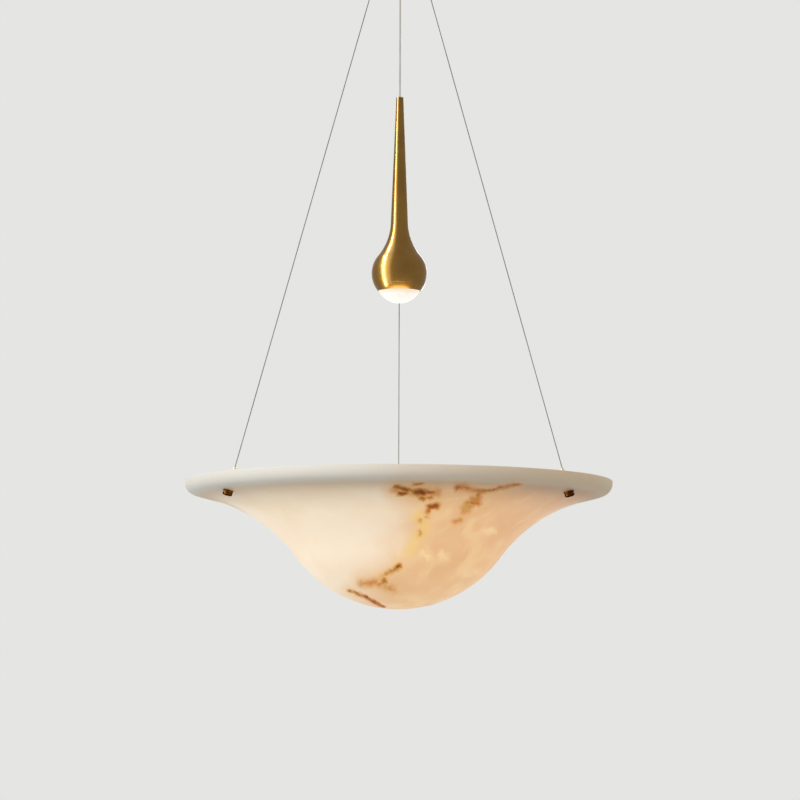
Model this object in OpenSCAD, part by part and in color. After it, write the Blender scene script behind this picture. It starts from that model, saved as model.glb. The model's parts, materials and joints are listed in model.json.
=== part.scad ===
// Pendant light: a stone bowl on three wires and a brass teardrop spot on a cable.
// The origin is on the ceiling at the centre of the bracket, +Z is up and the light hangs below.

/* [Hanging heights] */
// Ceiling to the top of the bowl's rim
bowl_drop = 758; // [650:1:1400]
// Ceiling to the lower edge of the teardrop
spot_drop = 489; // [420:1:620]

/* [Bowl] */
// Outer diameter of the bowl
bowl_d = 600; // [560:1:760]
// Height of the bowl
bowl_h = 179.3; // [165:0.1:210]
// Outer radius of curvature of the bowl's bottom
base_r = 177; // [150:1:195]
// Wall at the bottom of the bowl
bowl_wall = 12; // [9:0.5:15]
// Slope of the flange's underside
flange_slope = 14.5; // [12:0.5:15.5]
// Slope of the flange's upper side
flange_slope_in = 16; // [16:0.5:18]
// Straight run of the flange's underside
flange_run = 25.2; // [10:0.1:40]
// Straight run of the flange's upper side
flange_run_in = 20; // [10:0.1:30]
// Width of the flat land round the rim
land_w = 12; // [8:0.5:16]
// Radius of the rim's lower edge
rim_r = 15.4; // [12:0.1:18]
// Height of the upright face of the rim
rim_face = 2.7; // [1:0.1:6]
// Radius of the rim's upper edge
rim_top_r = 1; // [0.5:0.1:2]

/* [Wires and their stops] */
// Diameter of a suspension wire
wire_d = 1.5; // [1:0.1:1.8]
// Distance of a wire from the axis where it passes the rim's height
wire_reach = 262; // [225:1:268]
// Diameter of a wire stop
stop_d = 13.5; // [12.5:0.5:18]
// Length of a wire stop
stop_l = 6.2; // [5.8:0.1:12]
// Radius of the stop's rounded edge
stop_edge = 1; // [0.4:0.1:1.6]
// Diameter of the grub screw in a stop
stop_screw_d = 3; // [2:0.5:3]
// Diameter of the washer above a stop
washer_d = 15; // [15:0.5:18]
// Thickness of the washer
washer_t = 1; // [0.6:0.1:2]
// Outer diameter of the bush through the flange
bush_d = 6; // [5:0.5:7]
// Diameter of the bush's collar
bush_collar_d = 9; // [8.5:0.5:12]
// Thickness of the bush's collar
bush_collar_t = 1.2; // [0.8:0.1:2]
// Wall of the bush
bush_wall = 1.5; // [1:0.1:1.6]

/* [Canopy] */
// Diameter of the canopy
canopy_d = 150; // [146:1:200]
// Height of the canopy
canopy_h = 45; // [42:1:60]
// Wall of the canopy
canopy_wall = 1.5; // [1:0.1:2]
// Outer radius of the canopy's lower edge
canopy_edge_r = 6; // [4:0.5:7]
// Width of the ceiling bracket
strap_w = 20; // [16:1:24]
// Thickness of the ceiling bracket
strap_t = 2; // [1.5:0.1:3]
// Height of the bracket's ears
ear_h = 20; // [18:1:24]
// Distance between the centres of the two ceiling slots
slot_spacing = 80; // [60:1:90]
// Length of a ceiling slot from end to end
slot_l = 14; // [8:1:16]
// Width of a ceiling slot
slot_w = 5; // [4:0.1:6]
// Diameter of the hole for the supply cable
supply_hole_d = 12; // [8:1:12]
// Diameter of a side screw
side_screw_d = 4; // [3:0.5:5]
// Diameter of a side screw's head
side_head_d = 9; // [7:0.5:12]
// Depth of the side screws below the ceiling
side_screw_z = 12; // [10:0.5:13]

/* [Wire grippers] */
// Distance of the grippers from the axis
grip_r = 42; // [40:0.5:44]
// Diameter of a gripper's flange
grip_flange_d = 14; // [13:0.5:18]
// Thickness of a gripper's flange
grip_flange_t = 3; // [2:0.1:4]
// Diameter of a gripper's shank
grip_shank_d = 10; // [9.5:0.1:11]
// Length of the shank above the flange
grip_shank_l = 18; // [16:0.5:22]
// Diameter of the release nozzle
nozzle_d = 6; // [5.6:0.1:6.2]
// Travel of the release nozzle
nozzle_travel = 2; // [1:0.5:2.5]
// Length of nozzle that still stands out of the flange when it is pressed
nozzle_pressed = 3; // [2:0.5:6]
// Length of nozzle inside the barrel
nozzle_in = 11; // [10:0.5:12]
// Diameter of a grip ball
ball_d = 2.2; // [2:0.1:2.4]
// Wire diameter of the gripper spring
spring_wire_d = 0.6; // [0.4:0.1:0.8]
// Turns of the gripper spring
spring_turns = 4; // [3:1:6]

/* [Cable outlet] */
// Diameter of the pendant cable
cable_d = 2.5; // [2:0.1:3]
// Diameter of the outlet's flange
outlet_flange_d = 22; // [20:0.5:26]
// Thickness of the outlet's flange
outlet_flange_t = 3; // [2:0.5:4]
// Diameter of the outlet's shank
outlet_shank_d = 16; // [15.5:0.1:17]
// Length of the shank above the flange
outlet_shank_l = 12; // [11:0.5:14]
// Diameter of the swivel ball
swivel_d = 10; // [9.6:0.1:10.4]

/* [Teardrop] */
// Height of the teardrop from its lower edge to the top of its neck
spot_h = 276; // [240:1:320]
// Diameter of the teardrop's bulb
bulb_d = 78; // [76:0.5:90]
// Diameter of the opening at the lower edge
mouth_d = 60; // [56:0.5:62]
// Radius of the hollow curve between bulb and neck
blend_r = 78; // [65:1:95]
// Angle above the bulb's middle where the hollow curve starts
shoulder_angle = 39.6; // [37:0.1:43]
// Diameter of the neck at its top
neck_d = 10; // [9:0.1:13]
// Wall of the teardrop
shell_wall = 1.2; // [0.8:0.1:1.2]
// Height of the bezel ring that closes the bulb
bezel_h = 8.6; // [8:0.1:10]
// Length of the bezel's spigot
spigot_l = 6.4; // [6:0.1:8]
// Wall of the bezel's spigot
spigot_wall = 1.5; // [1:0.1:1.8]

/* [Lens and light engine] */
// Height of the lens's dome
dome_h = 17.3; // [12:0.1:22]
// Width of the bezel's lower lip
lip_w = 0.9; // [0.6:0.1:1.4]
// Height of the bezel's lower lip
lip_h = 3; // [2:0.1:3.5]
// Thickness of the lens's flange
lens_flange_t = 5; // [4:0.1:5.4]
// Thickness of the lens gasket
gasket_t = 1; // [0.6:0.1:1.4]
// Height of the reflector
reflector_h = 15; // [13:0.5:18]
// Wall of the reflector
reflector_wall = 1; // [0.8:0.1:1.4]
// Diameter of the light emitter
emitter_d = 14; // [10:0.5:16]
// Thickness of the light emitter
emitter_t = 1; // [0.6:0.1:1.4]
// Thickness of the LED board
board_t = 1.6; // [1:0.1:2]
// Thickness of the thermal pad
pad_t = 0.5; // [0.3:0.1:1]
// Thickness of the heat sink's plate
sink_plate_t = 4; // [3:0.5:5]
// Thickness of the heat sink's flange
sink_flange_t = 3; // [2:0.1:4]
// Wall of the heat sink's cup
sink_wall = 2; // [1.5:0.1:2.5]
// Height of the heat sink's fins
fin_h = 16; // [10:1:20]
// Thickness of a fin
fin_t = 1.2; // [1:0.1:2]
// Number of fins
fin_count = 12; // [8:1:16]
// Diameter of a board screw
board_screw_d = 2.5; // [2:0.1:3]
// Diameter of an LED lead
lead_d = 1.4; // [1:0.1:1.4]
// Length of the cable ferrule in the neck
ferrule_l = 10; // [6:1:14]
// Length of the neck plug
plug_l = 14; // [10:1:18]

/* [Driver and terminals] */
// Length of the driver's case
driver_l = 64; // [56:1:66]
// Width of the driver's case
driver_w = 26; // [22:1:27]
// Height of the driver's case with its lid
driver_h = 20; // [16:1:22]
// Wall of the driver's case
driver_wall = 1.5; // [1:0.1:2]
// Thickness of the driver's lid
driver_lid_t = 2; // [1.5:0.1:3]
// Diameter of the leads inside the canopy
inner_lead_d = 2.5; // [2:0.1:3]
// Length of the terminal block
block_l = 30; // [24:1:30]
// Width of the terminal block
block_w = 16; // [12:1:16]
// Height of the terminal block
block_h = 12; // [10:1:14]
// Diameter of a terminal screw
block_screw_d = 3; // [2.5:0.1:3.5]

/* [Hidden] */
$fn = 96;

// Bearings of the three wires round the axis, in even steps from the rear one
wire_step = 360 / 3;
REAR = 90;
LEFT = REAR + wire_step;
RIGHT = LEFT + wire_step;
BEARINGS = [REAR, LEFT, RIGHT];

// Clearances: a push fit, a running fit, a gap between moving bodies and a loose hole
fit = 0.05;
run = 0.1;
gap = 0.3;
loose = 0.2;
// How far a cutting tool reaches past a face
over = 1;
// Degrees between two points of an arc
arc_step = 3;

brass = "goldenrod";
steel = "silver";
alu = "gainsboro";
stone = "antiquewhite";
plastic = "white";
dark = "dimgray";

wire_r = wire_d / 2;
cable_r = cable_d / 2;

// Points of an arc about a centre, from one angle to another, in degrees
function arc(c, r, a0, a1) =
  let (n = max(2, ceil(abs(a1 - a0) / arc_step)))
  [for (i = [0:n]) let (a = a0 + (a1 - a0) * i / n) [c[0] + r * cos(a), c[1] + r * sin(a)]];

function reversed(p) = [for (i = [len(p) - 1:-1:0]) p[i]];

function dot(a, b) = a[0] * b[0] + a[1] * b[1];

// Wires: each starts at a pivot inside its nozzle's mouth and runs straight to its stop
mouth_depth = 2;
nozzle_out = nozzle_pressed + nozzle_travel;
floor_z = -canopy_h;
pivot_z = floor_z - grip_flange_t - nozzle_out + mouth_depth;
wire_tilt = atan((wire_reach - grip_r) / (bowl_drop + pivot_z));
rim_s = (bowl_drop + pivot_z) / cos(wire_tilt);

// Bowl profile, with heights from the bowl's lowest point
bowl_r = bowl_d / 2;
bowl_z = -bowl_drop - bowl_h;
base_centre = [0, base_r];
flange_end = [
  bowl_r - rim_r + rim_r * sin(flange_slope),
  bowl_h - rim_top_r - rim_face - rim_r * cos(flange_slope)
];
land_end = [bowl_r - land_w, bowl_h];

// A flange line of slope a that ends at p has a straight run l, and then a hollow arc
// that meets both the line and the bottom arc of radius r smoothly
function down_line(a) = [-cos(a), -sin(a)];
function below_line(a) = [sin(a), -cos(a)];
function run_start(p, a, l) = p + l * down_line(a);
function hollow_r(p, a, l, r) =
  let (w = run_start(p, a, l) - base_centre)
  (dot(w, w) - r * r) / (2 * (r - dot(w, below_line(a))));
function hollow_centre(p, a, l, r) = run_start(p, a, l) + hollow_r(p, a, l, r) * below_line(a);
function meet_angle(p, a, l, r) =
  let (d = hollow_centre(p, a, l, r) - base_centre) atan2(d[0], -d[1]);
function s_curve(p, a, l, r) =
  let (m = meet_angle(p, a, l, r))
  concat(
    arc(base_centre, r, -90, -90 + m),
    arc(hollow_centre(p, a, l, r), hollow_r(p, a, l, r), 90 + m, 90 + a),
    [p]
  );

bowl_outer = s_curve(flange_end, flange_slope, flange_run, base_r);
bowl_inner = s_curve(land_end, flange_slope_in, flange_run_in, base_r - bowl_wall);
rim_edge = concat(
  arc([bowl_r - rim_r, bowl_h - rim_top_r - rim_face], rim_r, -90 + flange_slope, 0),
  arc([bowl_r - rim_top_r, bowl_h - rim_top_r], rim_top_r, 0, 90)
);

// Distances along a wire, past the rim's height, of the two seats cut into the flange
bush_hole_d = bush_d + 2 * loose;
washer_seat_r = washer_d / 2 + loose;
collar_seat_r = bush_collar_d / 2 + loose;
under_s = (bowl_h - flange_end[1] + (flange_end[0] - wire_reach) * tan(flange_slope))
  / (cos(wire_tilt) + sin(wire_tilt) * tan(flange_slope));
upper_s = (land_end[0] - wire_reach) * tan(flange_slope_in)
  / (cos(wire_tilt) + sin(wire_tilt) * tan(flange_slope_in));
seat_s = rim_s + under_s - washer_seat_r * tan(abs(wire_tilt - flange_slope));
collar_s = rim_s + upper_s + collar_seat_r * tan(abs(wire_tilt - flange_slope_in));
stop_s = seat_s + washer_t;
stop_room = 0.55;
stop_bore_r = wire_r + stop_room;
stop_floor = 1.2;
wire_end_gap = 0.7;
wire_end_s = stop_s + stop_l - stop_floor - wire_end_gap;

// Canopy
canopy_r = canopy_d / 2;
canopy_in_r = canopy_r - canopy_wall;
inner_floor_z = floor_z + canopy_wall;
ear_gap = 0.5;
ear_x = sqrt(pow(canopy_in_r, 2) - pow(strap_w / 2, 2)) - ear_gap;
side_head_t = 2.5;
side_screw_l = 9;
// Width and depth of the slot in a screw's head
driver_slot_w = 1;
driver_slot_t = 0.8;
earth_off = 8;
earth_x = slot_spacing / 2 - slot_l / 2 - earth_off;
earth_head_d = 7;
earth_head_t = 2.6;
earth_screw_d = 4;

// Grippers, with heights from the flange's lower face
cone_low = 5;
cone_high = 11;
cone_r = nozzle_d / 2 + gap;
barrel_cap = 4;
barrel_top = grip_flange_t + grip_shank_l;
barrel_wall = 1;
barrel_bore_r = grip_shank_d / 2 - barrel_wall;
spring_r = nozzle_d / 2 - spring_wire_d / 2 - loose;
ball_below = 3;
ball_height = nozzle_in - ball_below;
ball_orbit = wire_r + ball_d / 2 + loose;
grip_nut_w = 14;
nut_t = 3.5;
tail_up = 6;

// Cable outlet, with heights from the flange's lower face
outlet_z = floor_z - outlet_flange_t;
swivel_r = swivel_d / 2;
socket_r = swivel_r + gap;
swivel_up = 5;
swivel_z = outlet_z + swivel_up;
socket_mouth_r = 3.6;
swivel_cut = 4;
outlet_nut_w = 20;
outlet_cap_l = 4;
outlet_cap_step = 0.7;
outlet_cap_wall = 1.3;
outlet_cap_r = socket_r + outlet_cap_step;
outlet_cap_bore = outlet_cap_r - outlet_cap_wall;
outlet_top = outlet_flange_t + outlet_shank_l;
cable_stop_r = 3;
cable_stop_t = 2;
cable_stop_gap = 0.6;
cable_top_z = swivel_z + swivel_cut + cable_stop_gap + cable_stop_t;
inner_lead_gap = 0.7;

// Teardrop profile, with heights from its lower edge
spot_z = -spot_drop;
bulb_r = bulb_d / 2;
mouth_r = mouth_d / 2;
bulb_up = sqrt(pow(bulb_r, 2) - pow(mouth_r, 2));
neck_r = neck_d / 2;
bulb_centre = [0, bulb_up];
blend_centre = bulb_centre
  + (bulb_r + blend_r) * [cos(shoulder_angle), sin(shoulder_angle)];
neck_top = [neck_r, spot_h];
neck_line = neck_top - blend_centre;
// Angle about the blend's centre where the hollow curve runs out into the straight neck
neck_angle = atan2(neck_line[1], neck_line[0]) + acos(blend_r / norm(neck_line));
neck_edge_r = 0.6;

// Points of the teardrop's side from height h0 up to the neck's top, drawn in by t
function bulb_angle(h, t) = asin((h - bulb_up) / (bulb_r - t));
function side(h0, t) = concat(
  arc(bulb_centre, bulb_r - t, bulb_angle(h0, t), shoulder_angle),
  arc(blend_centre, blend_r + t, 180 + shoulder_angle, neck_angle)
);
function bulb_x(h, t) = sqrt(pow(bulb_r - t, 2) - pow(h - bulb_up, 2));
// Radius of the teardrop's inside at a height, in the bulb or in the hollow curve
function inside_x(h) =
  h < bulb_up + bulb_r * sin(shoulder_angle)
  ? bulb_x(h, shell_wall)
  : blend_centre[0] - sqrt(pow(blend_r + shell_wall, 2) - pow(h - blend_centre[1], 2));

// What the teardrop holds, stacked upwards from the bezel's lip
land_step = 0.4;
land_r = bulb_x(bezel_h, shell_wall) - land_step;
spigot_r = land_r - run;
bezel_bore_r = spigot_r - spigot_wall;
spigot_top = bezel_h + spigot_l;
shoulder_h = spigot_top + sink_flange_t;
lens_r = mouth_r - lip_w - gap;
lens_top = lip_h + lens_flange_t;
gasket_top = lens_top + gasket_t;
gasket_w = 3.5;
reflector_top = gasket_top + reflector_h;
reflector_flange_t = 1;
emitter_top = reflector_top + emitter_t;
board_top = emitter_top + board_t;
pad_top = board_top + pad_t;
plate_top = pad_top + sink_plate_t;
fin_top = plate_top + fin_h;
fin_room = 4;
fin_r = min(inside_x(plate_top), inside_x(fin_top)) - fin_room;
fin_start = 7;
fin_root = sink_plate_t / 2;
cup_room = 1.6;
cup_out_r = bezel_bore_r - cup_room;
cup_r = cup_out_r - sink_wall;
board_room = 0.5;
board_edge = 6;
board_r = cup_r - board_room;
board_screw_r = board_r - board_edge;
board_screw_count = 3;
board_head_r = board_screw_d / 2 + 1;
board_head_t = 1.6;
lead_x = 1.2;
lead_room = 0.7;
lead_hole_r = lead_x + lead_d / 2 + lead_room;
plug_r = neck_r - shell_wall - fit;
ferrule_step = 1.2;
ferrule_r = plug_r - ferrule_step;
ferrule_top = spot_h - plug_l;
ferrule_low = ferrule_top - ferrule_l;
cable_low = ferrule_low + ferrule_l / 2;
neck_screw_d = 3;
neck_screw_up = plug_l / 2;

// Driver behind the front grippers, and the terminal block beside the rear one
driver_room = 1.5;
driver_back_y = -(grip_r / 2 + grip_nut_w / sqrt(3) + driver_room);
driver_y = driver_back_y - driver_w;
driver_top_z = inner_floor_z + driver_h;
lid_z = driver_top_z - driver_lid_t;
driver_port_z = inner_floor_z + 8;
supply_port_x = -22;
block_x = -55;
block_y = 22;
block_ways = 3;
// Places of the two rows of terminal screws, as shares of the block's width
block_rows = [0.27, 0.73];
block_groove_w = 1;
block_groove_t = 3;
block_port_x = -34;
block_port_z = inner_floor_z + block_h / 2;
lead_z = min(driver_port_z, block_port_z);

// Routes of the two leads inside the canopy
supply_route = [
  [block_port_x, block_y, lead_z], [block_port_x, block_y - 3, lead_z],
  [-33.4, 15, lead_z], [-31.2, 10, lead_z], [-28.2, 5, lead_z], [-25.4, 0, lead_z],
  [-23.4, -5, lead_z], [-22.3, -10, lead_z], [supply_port_x, -15, lead_z],
  [supply_port_x, -20, lead_z], [supply_port_x, -25, lead_z],
  [supply_port_x, driver_back_y, lead_z]
];
outlet_lead_z = cable_top_z + inner_lead_gap;
canopy_route = [
  [0, 0, outlet_lead_z], [0, 0, outlet_lead_z + 4], [0, -0.6, outlet_lead_z + 7.5],
  [0, -2.6, outlet_lead_z + 10.4], [0, -5.8, outlet_lead_z + 12],
  [0, -9.4, outlet_lead_z + 12], [0, -12.6, outlet_lead_z + 10.6],
  [0, -15.2, outlet_lead_z + 8], [0, -17.4, outlet_lead_z + 5.2],
  [0, -20, lead_z + 3.4], [0, -23, lead_z + 1], [0, -26.5, lead_z], [0, driver_back_y, lead_z]
];

// A round tube along a flat route: side is the direction square to the route's plane
function ring(c, t, side, r, n) =
  let (u = side / norm(side), w = cross(t, u) / norm(cross(t, u)))
  [for (k = [0:n - 1]) c + r * (cos(360 * k / n) * u + sin(360 * k / n) * w)];
function heading(p, i) = p[min(i + 1, len(p) - 1)] - p[max(i - 1, 0)];
module tube(route, r, side, n = 8) {
  m = len(route);
  rings = [for (i = [0:m - 1]) each ring(route[i], heading(route, i), side, r, n)];
  sides = [
    for (i = [0:m - 2]) for (k = [0:n - 1])
      let (a = i * n + k, b = i * n + (k + 1) % n)
      each [[a, b, b + n], [a, b + n, a + n]]
  ];
  low_end = [for (k = [1:n - 2]) [0, k + 1, k]];
  high_end = [for (k = [1:n - 2]) let (e = (m - 1) * n) [e, e + k, e + k + 1]];
  polyhedron(rings, concat(sides, low_end, high_end));
}

// A helix between two heights: its turns are worked out from the wire and the turns asked for
function coil_point(r, z0, z1, turns, f) =
  [r * cos(360 * turns * f), r * sin(360 * turns * f), z0 + (z1 - z0) * f];
module coil(r, z0, z1, turns, wire) {
  steps = turns * 10;
  route = [for (i = [0:steps]) coil_point(r, z0, z1, turns, i / steps)];
  n = 6;
  rings = [
    for (i = [0:steps])
      let (a = 360 * turns * i / steps, out = [cos(a), sin(a), 0])
      each [for (k = [0:n - 1]) route[i] + wire / 2 * (cos(360 * k / n) * out + [0, 0, sin(360 * k / n)])]
  ];
  sides = [
    for (i = [0:steps - 1]) for (k = [0:n - 1])
      let (a = i * n + k, b = i * n + (k + 1) % n)
      each [[a, b + n, b], [a, a + n, b + n]]
  ];
  low_end = [for (k = [1:n - 2]) [0, k, k + 1]];
  high_end = [for (k = [1:n - 2]) let (e = steps * n) [e, e + k + 1, e + k]];
  polyhedron(rings, concat(sides, low_end, high_end));
}

// A ring of rectangular section
module washer(r_out, r_in, h) {
  difference() {
    cylinder(r = r_out, h = h);
    translate([0, 0, -over]) cylinder(r = r_in, h = h + 2 * over);
  }
}

// A hexagonal nut of width w over its flats
module hex_nut(w, hole_r, h) {
  difference() {
    cylinder(d = w / cos(30), h = h, $fn = 6);
    translate([0, 0, -over]) cylinder(r = hole_r, h = h + 2 * over);
  }
}

// Puts what is drawn about the origin at a gripper, with the flange's lower face at height 0
module at_gripper(bearing) {
  rotate([0, 0, bearing]) translate([grip_r, 0, floor_z - grip_flange_t]) children();
}

// Puts what is drawn downwards from the origin along a wire, starting at distance s from its pivot
module along_wire(bearing, s) {
  rotate([0, 0, bearing]) translate([grip_r, 0, pivot_z])
    rotate([0, -wire_tilt, 0]) translate([0, 0, -s]) children();
}

// Ceiling bracket: a strap with two slots and two ears that the canopy's side screws enter
module ceiling_slot(x) {
  for (dx = [-1, 1] * (slot_l - slot_w) / 2)
    translate([x + dx, 0, -strap_t - over]) cylinder(d = slot_w, h = strap_t + 2 * over);
  translate([x - (slot_l - slot_w) / 2, -slot_w / 2, -strap_t - over])
    cube([slot_l - slot_w, slot_w, strap_t + 2 * over]);
}

module ceiling_bracket() {
  color(alu) difference() {
    union() {
      translate([-ear_x, -strap_w / 2, -strap_t]) cube([2 * ear_x, strap_w, strap_t]);
      for (x = [-ear_x, ear_x - strap_t])
        translate([x, -strap_w / 2, -ear_h]) cube([strap_t, strap_w, ear_h]);
    }
    translate([0, 0, -strap_t - over]) cylinder(d = supply_hole_d, h = strap_t + 2 * over);
    for (x = [-1, 1] * slot_spacing / 2) ceiling_slot(x);
    translate([-ear_x - over, 0, -side_screw_z]) rotate([0, 90, 0])
      cylinder(d = side_screw_d + 2 * fit, h = 2 * (ear_x + over));
    translate([earth_x, 0, -strap_t - over])
      cylinder(d = earth_screw_d + 2 * fit, h = strap_t + 2 * over);
  }
}

module canopy_shell() {
  in_edge_r = canopy_edge_r - canopy_wall;
  outer = concat(
    [[0, floor_z]],
    arc([canopy_r - canopy_edge_r, floor_z + canopy_edge_r], canopy_edge_r, -90, 0),
    [[canopy_r, 0]]
  );
  inner = concat(
    [[canopy_in_r, 0]],
    arc([canopy_in_r - in_edge_r, inner_floor_z + in_edge_r], in_edge_r, 0, -90),
    [[0, inner_floor_z]]
  );
  color(brass) difference() {
    rotate_extrude() polygon(concat(outer, inner));
    translate([0, 0, floor_z - over])
      cylinder(d = outlet_shank_d + 2 * loose, h = canopy_wall + 2 * over);
    for (b = BEARINGS) rotate([0, 0, b]) translate([grip_r, 0, floor_z - over])
      cylinder(d = grip_shank_d + 2 * loose, h = canopy_wall + 2 * over);
    translate([-canopy_r - over, 0, -side_screw_z]) rotate([0, 90, 0])
      cylinder(d = side_screw_d + 2 * loose, h = 2 * (canopy_r + over));
  }
}

module canopy_side_screws() {
  color(brass) for (turn = [0, 180]) rotate([0, 0, turn])
    translate([canopy_r + fit, 0, -side_screw_z]) rotate([0, 90, 0]) {
      difference() {
        cylinder(d = side_head_d, h = side_head_t);
        translate([-side_head_d, -driver_slot_w / 2, side_head_t - driver_slot_t])
          cube([2 * side_head_d, driver_slot_w, driver_slot_t + over]);
      }
      translate([0, 0, -side_screw_l]) cylinder(d = side_screw_d, h = side_screw_l);
    }
}

module earth_screw() {
  color(steel) translate([earth_x, 0, -strap_t]) {
    translate([0, 0, -earth_head_t]) difference() {
      cylinder(d = earth_head_d, h = earth_head_t);
      translate([-earth_head_d, -driver_slot_w / 2, -over])
        cube([2 * earth_head_d, driver_slot_w, over + driver_slot_t]);
    }
    cylinder(d = earth_screw_d, h = strap_t - loose);
  }
}

module driver_case() {
  color(plastic) difference() {
    translate([-driver_l / 2, driver_y, inner_floor_z])
      cube([driver_l, driver_w, driver_h - driver_lid_t]);
    translate([-driver_l / 2 + driver_wall, driver_y + driver_wall, inner_floor_z + driver_wall])
      cube([driver_l - 2 * driver_wall, driver_w - 2 * driver_wall, driver_h]);
  }
}

module driver_lid() {
  rib_t = 1;
  rib_h = 3;
  rib_gap = driver_wall + run;
  color(plastic) difference() {
    union() {
      translate([-driver_l / 2, driver_y, lid_z]) cube([driver_l, driver_w, driver_lid_t]);
      translate([-driver_l / 2 + rib_gap, driver_y + rib_gap, lid_z - rib_h])
        cube([driver_l - 2 * rib_gap, driver_w - 2 * rib_gap, rib_h]);
    }
    translate([-driver_l / 2 + rib_gap + rib_t, driver_y + rib_gap + rib_t, lid_z - rib_h - over])
      cube([driver_l - 2 * (rib_gap + rib_t), driver_w - 2 * (rib_gap + rib_t), rib_h + over]);
  }
}

module driver_board() {
  edge = driver_wall + gap;
  post_r = 1.5;
  post_h = 3;
  board_z = inner_floor_z + driver_wall + post_h;
  part_h = 6;
  coil_l = 14;
  coil_w = 12;
  capacitor_r = 4;
  capacitor_x = 16;
  choke_r = 3;
  choke_x = -20;
  middle_y = driver_y + driver_w / 2;
  color("seagreen") {
    translate([-driver_l / 2 + edge, driver_y + edge, board_z])
      cube([driver_l - 2 * edge, driver_w - 2 * edge, board_t]);
    for (x = [-1, 1] * driver_l / 3) for (y = [-1, 1] * driver_w / 4)
      translate([x, middle_y + y, board_z - post_h]) cylinder(r = post_r, h = post_h);
    translate([-coil_l / 2, middle_y - coil_w / 2, board_z + board_t]) cube([coil_l, coil_w, part_h]);
    translate([capacitor_x, middle_y, board_z + board_t]) cylinder(r = capacitor_r, h = part_h + 1);
    translate([choke_x, middle_y, board_z + board_t]) cylinder(r = choke_r, h = part_h);
  }
}

// Middle of each way of the terminal block
function block_way_x(i) = block_x + block_l * (i + 0.5) / block_ways;

module terminal_block() {
  screw_bore = block_screw_d / 2 + fit;
  color(plastic) difference() {
    translate([block_x, block_y, inner_floor_z]) cube([block_l, block_w, block_h]);
    for (i = [0:block_ways - 1]) for (y = block_rows)
      translate([block_way_x(i), block_y + block_w * y, inner_floor_z + block_h / 2])
        cylinder(r = screw_bore, h = block_h);
    for (i = [1:block_ways - 1])
      translate([
        block_x + block_l * i / block_ways - block_groove_w / 2,
        block_y - over,
        inner_floor_z + block_h - block_groove_t
      ]) cube([block_groove_w, block_w + 2 * over, block_groove_t + over]);
  }
}

module terminal_screws() {
  screw_below = 1;
  screw_l = block_h / 2 - screw_below;
  slot_w = 0.6;
  color(steel) for (i = [0:block_ways - 1]) for (y = block_rows)
    translate([block_way_x(i), block_y + block_w * y, inner_floor_z + block_h / 2]) difference() {
      cylinder(d = block_screw_d, h = screw_l);
      translate([-block_screw_d, -slot_w / 2, screw_l - driver_slot_t])
        cube([2 * block_screw_d, slot_w, driver_slot_t + over]);
    }
}

module supply_lead() { color(plastic) tube(supply_route, inner_lead_d / 2, [0, 0, 1]); }

module canopy_lead() { color(plastic) tube(canopy_route, inner_lead_d / 2, [1, 0, 0]); }

// Cable outlet: a socket, open upwards, in which the swivel ball hangs
module outlet_body() {
  color(brass) translate([0, 0, outlet_z]) difference() {
    union() {
      cylinder(d = outlet_flange_d, h = outlet_flange_t);
      cylinder(d = outlet_shank_d, h = outlet_top);
    }
    translate([0, 0, swivel_up]) sphere(r = socket_r);
    translate([0, 0, swivel_up]) cylinder(r = socket_r, h = outlet_top);
    translate([0, 0, -over]) cylinder(r = socket_mouth_r, h = swivel_up + over);
    translate([0, 0, outlet_top - outlet_cap_l]) cylinder(r = outlet_cap_r, h = outlet_cap_l + over);
  }
}

module outlet_nut() {
  color(steel) translate([0, 0, inner_floor_z]) hex_nut(outlet_nut_w, outlet_shank_d / 2 + fit, nut_t);
}

module outlet_cap() {
  color(steel) translate([0, 0, outlet_z + outlet_top - outlet_cap_l])
    washer(outlet_cap_r - fit, outlet_cap_bore, outlet_cap_l);
}

module swivel_ball() {
  waist = cable_r + gap;
  flare = waist + swivel_cut * tan(10);
  color(plastic) translate([0, 0, swivel_z]) difference() {
    intersection() {
      sphere(r = swivel_r);
      translate([0, 0, -swivel_cut]) cylinder(r = swivel_r, h = 2 * swivel_cut);
    }
    cylinder(r1 = waist, r2 = flare, h = swivel_cut + 0.001);
    translate([0, 0, -swivel_cut - 0.001]) cylinder(r1 = flare, r2 = waist, h = swivel_cut + 0.002);
  }
}

module cable_stop() {
  color(steel) translate([0, 0, cable_top_z - cable_stop_t])
    washer(cable_stop_r, cable_r + fit, cable_stop_t);
}

// Wire gripper: the nozzle carries three balls down a cone, which wedges them on the wire
module gripper_barrel(bearing) {
  color(brass) at_gripper(bearing) difference() {
    union() {
      cylinder(d = grip_flange_d, h = grip_flange_t);
      cylinder(d = grip_shank_d, h = barrel_top);
    }
    translate([0, 0, -over]) cylinder(r = nozzle_d / 2 + run, h = barrel_top);
    translate([0, 0, cone_low]) cylinder(r1 = cone_r, r2 = barrel_bore_r, h = cone_high - cone_low);
    translate([0, 0, cone_high]) cylinder(r = barrel_bore_r, h = barrel_top - barrel_cap - cone_high);
    translate([0, 0, cone_low]) cylinder(r = wire_r + loose, h = barrel_top);
  }
}

module gripper_spring(bearing) {
  spring_room = 0.15;
  seat = spring_room + spring_wire_d / 2;
  color(steel) at_gripper(bearing)
    coil(spring_r, nozzle_in + seat, barrel_top - barrel_cap - seat, spring_turns, spring_wire_d);
}

module gripper_nuts() {
  color(steel) for (b = BEARINGS) rotate([0, 0, b]) translate([grip_r, 0, inner_floor_z])
    hex_nut(grip_nut_w, grip_shank_d / 2 + fit, nut_t);
}

module wire_tails() {
  tail_gap = 0.5;
  tail_low = -nozzle_out + mouth_depth + tail_gap;
  color(steel) for (b = BEARINGS) at_gripper(b)
    translate([0, 0, tail_low]) cylinder(r = wire_r, h = barrel_top + tail_up - tail_low);
}

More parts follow.
